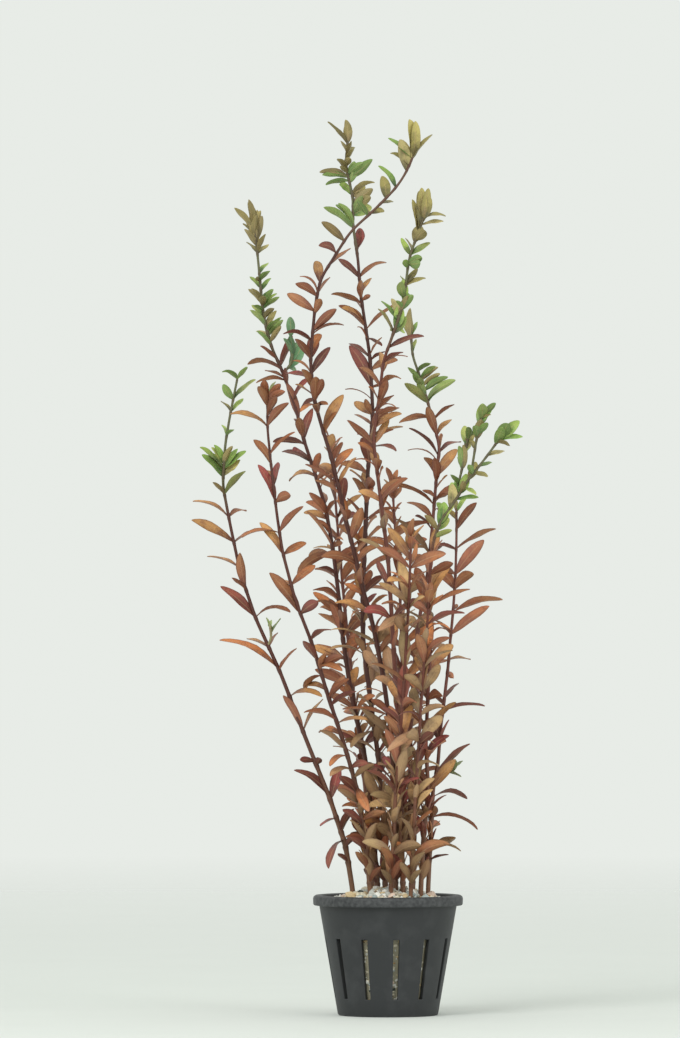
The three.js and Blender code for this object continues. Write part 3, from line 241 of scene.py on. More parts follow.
STEMS: list[Shoot] = [
    Shoot(
        name="stem_far_left",
        depth=[-2, -14],
        path=[[-13, 24], [-14, 49], [-17, 68], [-23, 86], [-33, 111], [-43, 137], [-53, 159], [-59, 177],
            [-63, 196], [-66, 212], [-65, 228], [-63, 240], [-60, 255]],
        seen=[[254, -6, 3, 1.8, 50], [254, 4, 5, 1.8], [246, -4, 6, 3.2], [246, 9, 8, 1.8, 30],
            [241, -4, 4.5, 1], [241, 5, 5.5, 1.8], [231.5, -2, 4.5, 1.6], [231.5, 3, 2.5, 1.6],
            [220, -5, 7, 2.2], [220, 3.5, 7.5, 2.5], [218.5, -10.5, 8.5, 1.8], [218.5, 9, 7, 2.5],
            [217, 5.5, 3.5, 2.8], [215, -9, 9, 2.4], [208, -4.5, 5, 1.8, 30], [208, 8.5, 9.5, 2.5],
            [199, -14.5, 6.5, 1.2, 50], [199, 7, 2.5, 1.6, 60], [189, -17, 9, 3.6, 15], [189, 9, 5, 0.8],
            [179, -13, 4.5, 0.8, 30], [170, -5.5, 5, 1.8], [170, -2.5, 15, 3.6],
            [159, -14, 12.5, 3.6, 20], [159, 14, 2, 1.2, 80], [147, -9, 3.5, 1.2, 20], [147, 3.5, 6, 1.2],
            [138, -24, 12, 2.4, 50], [138, 7, 9, 1.2], [127.5, 13, 0, 2, 60], [113.5, -8, 14.5, 3.2, 15],
            [113.5, 8, 13, 1.2], [101, -5, 1.5, 1.6], [100, 1.5, 3, 2.8], [86.5, -14.5, 11.5, 2.8, 60],
            [79, -6.5, -3, 0.8], [70, -6, -11, 2.4, 70]],
        green=214,
        tuft=[[217.2, -6.4, 8, 2.2], [218.8, 5.6, 7.6, 2.4], [215.6, 6.8, 6.4, 2.6],
            [218, -9.6, 9.2, 2.2], [220.4, -4, 7.6, 2.2], [101.5, -6, 1, 2.6, 30], [86, 3.6, 13, 4],
            [73, 5, 10, 3.2], [67, 4.5, 5, 2.6, 30], [61, -4, 4, 2]],
        flush=207,
        growth=Growth.GREEN,
        bark=0.6,
    ),
    Shoot(
        name="stem_left_front",
        depth=[-8, -30],
        path=[[-7, 24], [-7, 49], [-9, 70], [-13, 93], [-18, 110], [-24, 128], [-30, 148], [-37, 166],
            [-42, 185], [-44, 198], [-46, 214], [-47, 224], [-48, 234], [-48, 248]],
        seen=[[247, 3, 6, 1.4], [245, -1, 8.5, 3.4], [244, 7, 5, 3.2], [235, -15, 5, 2, 50],
            [235, 8.5, 9.5, 3.2], [224, 10, 9, 1.6], [220, -7, 10, 3.2], [215, -3, 3, 1.2],
            [211, 1.5, 10, 2.8], [205, -7, 15, 3.3], [205, 6, 3, 4], [193, -15, -2, 1, 50],
            [193, 9.5, 10.5, 2.8], [184, -9.5, 13, 3.4], [184, 9, 5, 3.2], [172, 9.5, 8, 3.4],
            [172, -5, 2, 1.2], [160.5, -12.5, 16.5, 4.6, 15], [160.5, 7, 5, 4.2], [150, 8, 4.5, 2, 40],
            [142, -5.5, 8, 3.2], [139, 9, 5, 3.6], [136, -7, -6, 2.4, 50], [127, 8, 8, 2.8],
            [118, -13, 3.5, 2.4, 50], [117, 12, 1.5, 1.6, 30], [106, -10.5, 8.5, 2.4, 25],
            [95, 8, 6, 2.6], [89, -7, 7, 3.6], [78, 9, 4, 3], [70, -8, 2, 2.6]],
        tuft=[[140.5, 9.5, -2.5, 2.6, 40], [138, 2.5, 7.5, 2.8], [126, 6, 10, 3], [124, 10, 6, 2.4],
            [99, 7, 2, 2.8, 50], [91, 5, -9, 4, 30], [84, -5, 3, 2.4], [130, -8.5, 1.5, 2.2, 50],
            [112, -9, 1, 2.2, 60], [104, -7, -4, 2, 50], [98.5, -8.5, -2.5, 2.2, 50],
            [84.5, -8.5, 6.5, 3.2], [76, -8, 7, 3.2], [66, -6.5, 6, 3], [58, -5, 8, 3], [53, 4.5, 7, 2.6],
            [243, -3.5, 8, 3.4], [244, 5, 8, 3.4], [239, 3.5, 8, 3]],
        flush=245,
        filled=[[53.5, 80, 2.6]],
        bark=0.6,
    ),
    Shoot(
        name="stem_left_tall",
        depth=[5, 24],
        path=[[-4, 24], [-4, 49], [-6, 74], [-9, 102], [-12, 116], [-15, 130], [-18, 150], [-20, 170],
            [-22, 186], [-25, 203], [-29, 216], [-34, 231], [-37, 243], [-42, 257], [-47, 268],
            [-50, 280], [-51, 290], [-52, 301], [-53, 311], [-54, 317]],
        seen=[[312.5, 0.5, 8, 2.6], [311.5, 2, 11, 3], [311, -9, 10.5, 2.4, 30], [311, -3, 16, 2.6],
            [305, -4.5, 5, 1.4], [305, 4.5, 4, 1.8], [294, -1.5, 1.5, 1.8], [294, 4, 4, 2],
            [286, -4, 5, 2], [286, 4, 5, 1.8], [284, 5, 5, 1.8], [284, 0.5, 4, 3], [279, -5, 5.5, 2.2],
            [279, 4, 4, 2.4], [274, 5, 4, 1.6, 40], [273, 4, 6.5, 2.6], [272, -5, 2, 1.4],
            [262, -7, 6, 1.6], [258, -14, 2.5, 2, 70], [255, -8, 3, 0.8], [254, -12, -1, 1.6, 40],
            [238, -5, 15, 3.4], [231, -2, 8, 3.6], [230, 3.5, 13, 3.4], [221, -12, 4.5, 2.2, 40],
            [215, -11, -1.5, 1.6, 80], [214, 4, 4, 2.4], [200, -7, 9, 3], [200, 3, 6, 2],
            [187, -10.5, 14.5, 1.4], [187, 4, 2, 2.4], [184, -10, -1, 2.2, 40], [184, 10, -2, 3, 40],
            [176, -7, 3, 2], [166, -10.5, 4, 2.2, 40], [166, 6, -4, 1.8], [150, -5.5, 16.5, 4.4],
            [142, -12, 6, 2.4], [128, 2.5, 11, 4]],
        pairs=[[118, 60], [106, 40], [94, 110], [80, 20], [66, 100]],
        green=255,
        tuft=[[310.8, -3.2, 15.2, 3.6], [313.2, -8.4, 10.4, 2.4], [310, -4.4, 10.4, 3.2],
            [310, 2.4, 10.4, 3.6], [314.8, -0.4, 9.2, 3.2], [308.4, -2.4, 8.8, 3.6],
            [311.6, 0.8, 11.2, 2.8], [308, -5, 7, 2.2], [306, 3.4, 7, 2], [297, 3.6, 4.6, 1.8],
            [291, -4.4, 5, 1.8], [290, 4, 5.4, 2], [284.8, -5.6, 6, 2], [284, 4.4, 6.8, 2.2],
            [282.8, 6.8, 4.8, 1.8], [282, -4, 2, 1.6], [276, -6.4, 6.4, 2.2], [274.8, 4, 7.4, 2.4],
            [272, 6, 6.4, 2.2], [268, -5.6, 6, 1.8], [269.2, 4.4, 6.8, 2.2], [259.6, 5, 12.4, 3],
            [184.4, -14.4, -9, 3.8, 50], [160, -11, 9, 3.4, 25], [142, -14, 5.5, 3.6, 20],
            [122, -10, 6, 3, 30], [106, -8, 4, 2.8, 30], [60, -6, 9, 3.4], [54, 4, 9, 3],
            [52, -5, 7, 2.6]],
        flush=264,
        growth=Growth.GREEN,
        tip=Growth.OLIVE,
        filled=[[53.5, 84, 2.6], [108, 256, 6]],
        bark=0.55,
    ),
    Shoot(
        name="stem_centre_bent",
        depth=[-3, -20],
        path=[[3, 24], [3, 49], [3, 86], [1, 114], [-2, 136], [-6, 156], [-10, 170], [-14, 187],
            [-17, 198], [-20, 212], [-23, 224], [-27, 237], [-30, 248], [-31, 262], [-30, 274],
            [-29, 284], [-27, 294], [-22, 302], [-15, 313], [-6, 321], [3, 330], [7, 336], [10, 343]],
        seen=[[342, 8, 9.5, 1.2], [341.5, -1, 16, 4.4], [339, -7.5, 5, 1.8, 40], [337, -2.5, 12.5, 4.8],
            [330, -7, 9, 2.2, 30], [326, -1.5, 9, 4.2], [324, 5, 1, 1.4], [320, 5.5, 1.5, 2.4, 40],
            [320, -4, 2.5, 1.8], [319, -4, 6, 2.4], [309, -9, 7.5, 3.4, 25], [304, -7, 3, 3, 50],
            [299, 9, 7.5, 1.6], [292.5, -1.5, 9, 4], [288, 5, 7, 0.8], [287, -8.5, 5, 3.2, 30],
            [281, -11, 7, 4, 20], [273, 9.5, 9, 3.6], [269, -11.5, 3, 1.8, 60], [262, 2, 9.5, 5],
            [256, 7.5, 11, 3.4], [254, -10.5, 2.5, 1.8, 30], [245, 0.5, 10, 4.5], [244, -6, -3, 1.6, 40],
            [244, 5, 0, 1.8], [233, 8, 15, 4.4], [223, 0.5, 9.5, 4], [218, 7.5, 8.5, 3.4],
            [204, 1, 11, 4.4], [190, 4.5, 13, 4.4], [120, -18.5, 2.5, 1.4, 30], [104, -2, 9, 4]],
        pairs=[[212, 180], [197, 100], [180, 190], [172, 90], [160, 170], [148, 30], [136, 120],
            [112, 200], [96, 100], [84, 10], [70, 80]],
        green=318,
        tuft=[[336.8, -2.8, 12.8, 4.8], [342, -9.6, 8, 2.2], [342.8, 0.8, 14, 4], [262, -6, 8, 3],
            [250, -4, 8, 3], [246, 3.5, 8, 3.6], [57, -4, 9, 3.4], [53, 3.5, 8, 3]],
        flush=308,
        filled=[[53.5, 100, 2.6], [104, 290, 8]],
        bark=0.5,
    ),
    Shoot(
        name="stem_centre_tall",
        depth=[4, 16],
        path=[[-1, 24], [-1, 49], [-2, 82], [-4, 104], [-7, 126], [-10, 150], [-10, 170], [-9, 194],
            [-8, 218], [-6, 240], [-7, 262], [-9, 276], [-11, 289], [-12, 303], [-14, 316], [-14, 328],
            [-17, 340], [-16, 351]],
        seen=[[349.5, 0, 8.5, 3.2], [349, -8, 9, 1.4], [345, 3, 3, 2], [341, -2, 1, 1.6], [340, 2, 3, 3],
            [337, -2.5, 3, 2], [336.5, 6.5, 5, 2.6], [335.5, -10.5, 1, 2.2, 30], [334.5, 9.5, 8, 2.8],
            [334, -9.5, -1.5, 2, 40], [329, 9, 4.5, 2, 50], [328, -5.5, 5, 2], [321, 4, 7, 3],
            [319, -7, 5.5, 2.2], [315, -12, 8.5, 2.8, 30], [305, 1, 10, 2.6], [295, -8.5, 8, 2.8],
            [295, 11, 6.5, 2, 50], [286.5, -0.5, 7.5, 2.8], [286, 3.5, 2, 2], [284.5, -12.5, 4, 2.2, 30],
            [275, -11, 9, 2.6, 40], [274.5, 13, 10.5, 1.4], [271, 6, -3, 1.4], [263, -8.5, 6, 2],
            [262, 6, 3.5, 1.2], [251, -9, 17, 5], [251, 4, 1, 1.4], [241, 8.5, 7, 2],
            [240, -7.5, 5.5, 3.6], [236, -7, 4.5, 1.4], [231, 13, 4.5, 1.6], [230, -5.5, 2.5, 0.8],
            [227, 10.5, -1.5, 1.2, 40], [220, -2.5, 11, 5], [205, -8, 10, 2.2], [182, 0, 14, 4.4],
            [171, 3, 7, 3], [166, -0.5, 15, 4.8], [130, -0.5, 18, 5], [114, -9.5, -7, 2.2],
            [84, -7, 14, 4.6], [63, -8, 18, 4.8]],
        pairs=[[208, 100], [197, 10], [188, 110], [176, 20], [156, 120], [144, 40], [136, 150], [122, 70],
            [104, 190], [96, 70], [76, 60]],
        green=312,
        tuft=[[324, 7.2, 3.6, 4], [320.4, 7.6, 3.2, 4.8], [327.6, 4.8, 4.8, 4], [329.2, -4.8, 4.8, 2.8],
            [338.8, -3.6, 4, 2.2], [342, 2.8, 4.8, 1.8], [345.2, -2.4, 4.8, 1.6], [343.6, 2, 6.4, 1.6],
            [349.2, -0.8, 9.6, 3.2], [333.2, 2, 8.8, 4.4], [335.6, -11.6, 2, 3], [334.8, 9.6, 8, 3.6],
            [315.6, -6, 9.6, 2.8], [56, 4, 9, 3.2], [52.5, -3.5, 8, 3], [322, 8, 9, 4.4],
            [306.5, 1.5, 9, 4]],
        flush=308,
        growth=Growth.GREEN,
        tip=Growth.OLIVE,
        filled=[[53.5, 96, 2.6], [102, 290, 6]],
        bark=0.45,
    ),
    Shoot(
        name="stem_right_tall",
        depth=[-5, -34],
        path=[[6, 24], [6, 49], [5, 86], [4, 118], [2, 150], [1, 166], [0, 182], [-2, 198], [-4, 214],
            [-6, 230], [-4, 244], [-3, 252], [-2, 261], [3, 275], [6, 284], [7, 292], [8, 301], [10, 307],
            [14, 318]],
        seen=[[317.5, 9, 1, 1.4, 60], [317, 1.5, 11, 4.6], [315.5, -1, 13, 4.6], [315, 9, 1.5, 1.6],
            [313, -1, 9, 2], [312, -2.5, 12, 2.4], [309, 4, 3.5, 4.4], [305, -2.5, 5, 0.8],
            [303, 8, 5, 2.4], [299.5, 5.5, 2.5, 3.6], [298, -1.5, 3, 2.6], [291, 8, 3, 1.8, 30],
            [291, -2, 4, 0.8], [286, 2, 2, 2], [285, -0.5, 8.5, 3.4], [282, -2, 3, 1.8], [280, 3, 7, 2.4],
            [277, -6.5, 8, 1.6], [274, 4, -1.5, 2], [273, -1.5, 1, 1.6], [266, 14.5, 5, 2.4, 30],
            [260, 8, 4.5, 2, 30], [252, 8, 2, 2, 60], [243, 3.5, 10.5, 3.4], [239.5, 9, 3, 2.2],
            [134, -4, 14, 5]],
        pairs=[[228, 200], [217, 100], [205, 10], [194, 90], [182, 200], [170, 120], [158, 30],
            [146, 100], [120, 110], [108, 20], [96, 100], [82, 30], [68, 300]],
        green=270,
        tuft=[[317.8, -0.8, 12, 4], [317.6, 2, 12, 3.6], [312, -2.4, 13.2, 2.4], [308, 2.8, 6.8, 4.4],
            [299.6, 4.8, 0, 4], [303, -3.6, 7, 2.4], [292, 4.6, 6, 2.4], [286, -1.6, 6.4, 3.6],
            [281.2, 4.8, 6, 3.6], [274, 1.6, 9.6, 4.4], [272, 5.2, 6.8, 3.6], [278, -2.8, 8, 2.8],
            [57, -4, 8, 3.2], [53, 4, 8, 3], [272, -6, 10, 1.4]],
        growth=Growth.GREEN,
        tip=Growth.OLIVE,
        filled=[[53.5, 104, 2.6], [108, 136, 5.4], [202, 262, 5.4]],
        bark=0.9,
    ),
    Shoot(
        name="stem_right_back",
        depth=[3, 34],
        path=[[10, 24], [10, 49], [9, 86], [9, 114], [11, 142], [12, 154], [14, 166], [16, 176],
            [17, 186], [18, 196], [19, 208], [20, 220], [21, 227], [18, 239], [16, 246], [13, 256],
            [10, 264], [9, 279]],
        seen=[[272, 2.5, 6, 2], [271, -3, 5, 1.8], [270, -0.5, 13.5, 3.4], [265, 1.5, 6, 1.8],
            [258, 5, 3, 2], [255, 6, 5, 2.2], [252.5, -6, 7, 1.8], [252, 7, 5, 2.2], [251, -2, 4, 3],
            [245, 8.5, 9.5, 1.8, 40], [245, -9.5, 8, 3.4], [239, -13.5, -2, 2.4, 40],
            [238, 8.5, 6.5, 1.4], [232, -4, 11.5, 3.8], [225, 9, 4.5, 1.6, 40],
            [223.5, -12, 11.5, 1.2, 40], [215.5, 8.5, 11, 4.2], [213, -0.5, 10, 3.6], [207, -5, 3, 1.8],
            [206, 5, 2.5, 2], [204, -21, 7, 1.8, 60], [198, -10.5, 7, 2.4, 50], [197, -20, -10, 3.4, 50],
            [184, -14.5, 14, 1.8], [184, 6, 5, 2.2], [183, -10, -1, 2.4], [179, -9, 4, 2],
            [166, -3, 13, 4.6]],
        pairs=[[154, 110], [142, 30], [130, 120], [118, 60], [106, 150], [94, 20], [82, 130], [70, 40]],
        green=247,
        tuft=[[254, 6.8, 5.6, 2.4], [250, 9.6, 5.6, 2.8], [246.4, 11.6, 8, 3.2], [251.6, -4, 6, 2.8],
            [247.6, -3.2, 7.2, 3.2], [58, 4.5, 8, 3.2], [53, -4, 8, 3]],
        flush=243,
        growth=Growth.GREEN,
        filled=[[53.5, 100, 2.6], [104, 136, 5.4], [194, 236, 5.4]],
    ),
    Shoot(
        name="stem_right_forked",
        depth=[-7, -22],
        path=[[13, 24], [13, 49], [14, 70], [16, 90], [15, 110], [16, 130], [17, 150], [16, 166],
            [17, 182], [18, 190], [21, 198], [27, 206], [31, 213], [35, 218], [39, 223], [44, 230]],
        seen=[[229, 5, -1.5, 1.8], [228.5, 2, 5, 3.6], [228, 3, 7, 4], [223.5, 7, 2, 1.8],
            [219, 5.5, 2, 1.6], [216.5, 6, -1, 2], [216, -1.5, 4, 2.6], [211, 5, -3, 1.6],
            [209, 4, 3, 2.6], [206, 9, 1, 1.8], [205, -1, 8, 4], [200, -3, 5, 2.6], [196, 6, 8, 3],
            [194, -5, 6, 2.6], [191, 7, 3, 2.4], [176, 9, 5, 3.6], [165, 8.5, 14, 2.6],
            [163, 16.5, 7.5, 1.8], [158, 3, 12.5, 2]],
        pairs=[[182, 120], [170, 30], [150, 100], [138, 40], [126, 110], [114, 20], [102, 90], [90, 10],
            [78, 60], [66, 340]],
        green=190,
        tuft=[[196, 2, 9.2, 4.8], [202.8, 0.8, 9.6, 4], [206.8, -0.4, 8, 3.2], [208.4, 2.8, 8, 4],
            [214, 3.2, 7.2, 3.6], [194, 4.8, 4.8, 3.2], [229.6, 4, 6.8, 5.2], [229.8, 8.4, 7.6, 4.4],
            [229.9, 9.6, 1.2, 2]],
        growth=Growth.GREEN,
        filled=[[53.5, 90, 2.6], [104, 182, 8]],
    ),
    Shoot(
        name="stem_far_right",
        depth=[1, 10],
        path=[[16, 24], [16, 49], [17, 70], [18, 90], [20, 100], [21, 114], [23, 130], [24, 138],
            [25, 150], [26, 160], [27, 174], [27.5, 190], [27.5, 203]],
        seen=[[201, -2, 7, 2.4], [201, 2, 6, 2.4], [198, -5, 5, 2], [194, 8, 11, 3.4], [186.5, 16, 8, 2],
            [186, -8, 2, 1.6], [176, 11.5, 14, 5], [176, -9, 3, 3], [162, 2, 2, 1.6],
            [161, 20, 5, 2.8, 40], [152, 15.5, 11.5, 4], [152, -6.5, 6, 1.6], [142, -5.5, -2, 1.6],
            [142, 9, 0, 0.8, 20], [137, 2.5, -2.5, 2.4], [126, 6, 6.5, 1.6], [124, -5, 4, 1.8],
            [121.5, 17, 2, 1.6, 40], [120, -6, -5, 3], [97, 13.5, 11.5, 2.4], [87, 14, -1, 1.8, 70],
            [79, 18.5, -5, 1.6, 70], [78, 1, 6, 3.4], [66, 10, 5.5, 3.4], [62, 7.5, 2.5, 1]],
        pairs=[[170, 120], [109, 120]],
        flush=196,
        filled=[[53.5, 72, 2.6]],
    ),
    Shoot(
        name="stem_back_centre",
        depth=[9, 46],
        path=[[3, 24], [3, 49], [5, 90], [6, 130], [5, 170], [3, 195], [2, 212]],
        every=[66, 206, 30],
        crown=[3, 8],
        green=192,
        growth=Growth.RUST,
        filled=[[53.5, 120, 4.6], [126, 200, 10]],
    ),
    Shoot(
        name="stem_front_centre",
        depth=[-11, -46],
        path=[[1, 24], [1, 49], [3, 90], [6, 130], [8, 165], [9, 192]],
        seen=[[182, -9, 13, 4], [165, -12, 8, 3], [163, -5, 19, 4.4], [161, -12, -7, 3.4],
            [139, -1, 16, 5], [124, 1, 17, 5.2], [110, -4, 14, 4.6], [109, 1, 16, 5.2], [100, -5, 15, 4],
            [92, 4, 15, 4.4]],
        every=[64, 186, 350],
        crown=[3, 9],
        green=182,
        tuft=[[58, -4, 10, 3.6], [54, 4, 9, 3.2], [52, -4, 7, 2.8]],
        growth=Growth.RUST,
        filled=[[53.5, 120, 4.2], [126, 182, 9]],
    ),
    Shoot(
        name="stem_back_left",
        depth=[11, 50],
        path=[[-5, 24], [-6, 49], [-9, 90], [-14, 130], [-18, 170], [-21, 205], [-22, 228]],
        every=[70, 222, 70],
        crown=[3, 9],
        green=205,
        growth=Growth.RUST,
        filled=[[53.5, 216, 5.2]],
    ),
    Shoot(
        name="stem_front_right",
        depth=[-12, -40],
        path=[[8, 24], [9, 49], [11, 90], [13, 125], [15, 150], [16, 168]],
        seen=[[141, -3, 12, 4], [140, 2.5, 19, 5], [128, 3, 16, 3], [115, -13, -9, 3.6], [92, 1.5, 12, 4],
            [84, -5, 10, 4.2]],
        every=[62, 162, 20],
        crown=[3, 9],
        green=158,
        tuft=[[57, 5, 9, 3.4], [53, -4, 9, 3], [52, 4, 7, 2.8]],
        growth=Growth.RUST,
        filled=[[53.5, 112, 4.6], [118, 158, 9]],
    ),
]

SIDE_SHOOTS: list[Shoot] = [
    Shoot(
        name="side_shoot_far_left",
        parent="stem_far_left",
        at=148,
        reach=[[1.2, -1.4, 0.8], [1.4, -2.6, 5], [0.6, -3.2, 9]],
        seen=[[153, -2, 6, 1.2], [153, 2, 6, 1.2], [155, 0.3, 3, 1.6]],
        green=0,
        growth=Growth.PALE,
    ),
    Shoot(
        name="side_shoot_left_tall",
        parent="stem_left_tall",
        at=257,
        reach=[[1.2, -1, 0.8], [4, -3, 4], [3.4, -4, 10], [3, -4.5, 15]],
        seen=[[271.5, -0.2, 8, 3.6], [264, -1, 8, 3], [264, -3.5, 7, 2], [262, 2, 7.5, 3.6],
            [259, 3, -1, 2]],
        green=0,
        tuft=[[259.5, 5, 9, 5]],
        growth=Growth.TEAL,
    ),
    Shoot(
        name="fork_upper",
        parent="stem_right_forked",
        at=216,
        reach=[[-0.4, -1.3, 0.9], [0.6, -2.6, 7], [1.8, -3, 15], [4.2, -3, 25]],
        seen=[[226, -1.5, 4, 2.2], [231, -1, 4.5, 3], [232, 2.5, 5, 3], [238, 0.5, 6, 4],
            [239, 3.5, 6, 3], [238.5, 3.5, 3, 2.4]],
        green=0,
        tuft=[[235.6, 1.2, 8.8, 4.8], [236.4, 5.2, 7.6, 3.2], [230, 2, 8, 4]],
        growth=Growth.GREEN,
    ),
    Shoot(
        name="fork_inner",
        parent="stem_right_forked",
        at=207,
        reach=[[-0.8, 1.3, 1.2], [1.6, 3, 10], [3.2, 3.6, 19], [4.4, 3.6, 25]],
        seen=[[212, -3, 4, 2], [218, 0.5, 10, 2.6], [218, -1.5, 5, 1.6], [224, 2.5, 4, 2],
            [230, 0.3, 5, 2.8], [231, 3, 4, 2.6]],
        green=0,
        tuft=[[228, -0.8, 7.6, 3.6], [226, 3.6, 7.2, 3.2], [218, -1.2, 9.6, 3.2]],
        growth=Growth.GREEN,
    ),
    Shoot(
        name="side_shoot_far_right",
        parent="stem_far_right",
        at=93,
        reach=[[1.5, -0.9, 0.8], [4.5, -1.6, 3], [8, -2, 6]],
        seen=[[98.5, 4, 3, 1.4], [97, 3, 5, 2.2], [97, 5, -1.5, 1], [98, -1, 3, 1.4]],
        green=0,
        growth=Growth.PALE,
    ),
]


@dataclass(frozen=True)
class Habit:
    """The usual leaf of a stretch: length, width as a share of it, and rise and droop in degrees."""

    length: float
    slender: float
    rise: float
    droop: float

    def towards(self, other: "Habit", share: float) -> "Habit":
        """Gives the habit that lies a share of the way to another.

        Args:
            other: The other habit.
            share: The share of the way.

        Returns:
            The habit in between.
        """
        return Habit(
            blend(self.length, other.length, share),
            blend(self.slender, other.slender, share),
            blend(self.rise, other.rise, share),
            blend(self.droop, other.droop, share),
        )


LOW = Habit(length=18.5, slender=0.27, rise=50.0, droop=46.0)
HIGH = Habit(length=14.0, slender=0.29, rise=56.0, droop=26.0)
YOUNG = Habit(length=9.0, slender=0.36, rise=60.0, droop=18.0)
LOWEST_NODE = 60.0
HIGHEST_NODE = 330.0
WIDEST_LEAF = 5.2
GRAVEL_CROWN = 50.5
STEM_LEAN = 1.2


@dataclass(frozen=True)
class Line:
    """The line that a shoot follows upwards, through points, rows of [x, y, z]."""

    TIP_RADIUS, FOOT_RADIUS, TAPER = 0.6, 1.25, 190.0

    points: Array

    @property
    def top(self) -> float:
        """The height of its tip."""
        return float(self.points[-1, 2])

    def at(self, z: float) -> tuple[Array, Array]:
        """Finds where the line passes a height.

        Args:
            z: The height.

        Returns:
            The point there, and the direction of growth of the stretch that it lies on.
        """
        i = int(np.clip(np.searchsorted(self.points[1:-1, 2], z), 0, len(self.points) - 2))
        low, high = self.points[i], self.points[i + 1]
        return blend(low, high, (z - low[2]) / (high[2] - low[2])), unit(high - low)

    def radius(self, z: Array | float) -> Array | float:
        """Gives the stem's radius at a height, which grows evenly from the tip down through the taper."""
        return blend(self.TIP_RADIUS, self.FOOT_RADIUS, np.clip((self.top - z) / self.TAPER, 0.0, 1.0))


def line_of(shoot: Shoot, lines: dict[str, Line]) -> Line:
    """Lays out a shoot's line.

    A stem's y goes from depth[0] at the gravel to depth[1] at its tip as the height's share to the power of
    STEM_LEAN.

    Args:
        shoot: The stem or side shoot.
        lines: The lines that are laid out already, among them that of a side shoot's parent.

    Returns:
        The shoot's line.
    """
    if not shoot.path:
        start, _ = lines[shoot.parent].at(shoot.at)
        return Line(start + np.array(shoot.reach, float))
    x, z = np.array(shoot.path, float).T
    share = np.clip((z - GRAVEL_CROWN) / (z[-1] - GRAVEL_CROWN), 0.0, 1.0)
    return Line(np.stack([x, blend(shoot.depth[0], shoot.depth[1], share**STEM_LEAN), z], axis=1))


def heading_at(growth: Array, turn: float) -> Array:
    """Gives the level direction of a turn in degrees, tipped to be square to a direction of growth."""
    level = np.array([math.cos(math.radians(turn)), math.sin(math.radians(turn)), 0.0])
    return unit(level - growth * level.dot(growth))


def arc(
    share: Array, length: Array | float, rise: Array | float, droop: Array | float
) -> tuple[Array, Array, Array]:
    """Follows a leaf's midline, an arc that leaves the stem at the rise and falls by the droop.

    At a share s it points at a = rise - droop·s over the level. It has then come out by
    length·(sin rise - sin a)/droop and up by length·(cos a - cos rise)/droop.

    Args:
        share: Shares of its length.
        length: Its length.
        rise: Its rise in degrees.
        droop: Its droop in degrees.

    Returns:
        Its angle over the level in radians, and how far it has come outwards and upwards.
    """
    start, fall = np.radians(rise), np.radians(droop)
    angle = start - fall * share
    outward = length * (np.sin(start) - np.sin(angle)) / fall
    upward = length * (np.cos(angle) - np.cos(start)) / fall
    return angle, outward, upward


@dataclass(frozen=True)
class Leaf:
    """One leaf: where it grows, which way it heads, its size, and in degrees its rise, droop and roll."""

    root: Array
    growth: Array
    out: Array
    z: float
    turn: float
    length: float
    width: float
    rise: float
    droop: float
    roll: float
    shoot: int
    seed: float

    def midline(self, share: Array) -> Array:
        """Gives the points of the midline at shares of its length."""
        _, outward, upward = arc(share, self.length, self.rise, self.droop)
        return self.root + outward[..., None] * self.out + upward[..., None] * self.growth

    def half_width(self, share: Array) -> Array:
        """Gives half of the width at shares of the length: width/2·sin(pi·s^0.85)^0.8."""
        return self.width / 2 * np.sin(np.pi * share**0.85) ** 0.8

    def turned(self, turn: float, size: float) -> "Leaf":
        """Gives the same leaf headed another way and scaled.

        Args:
            turn: How much further it is turned, in degrees.
            size: The factor of its length and width.

        Returns:
            The new leaf.
        """
        turn += self.turn
        out = heading_at(self.growth, turn)
        return replace(self, turn=turn, out=out, length=self.length * size, width=self.width * size)


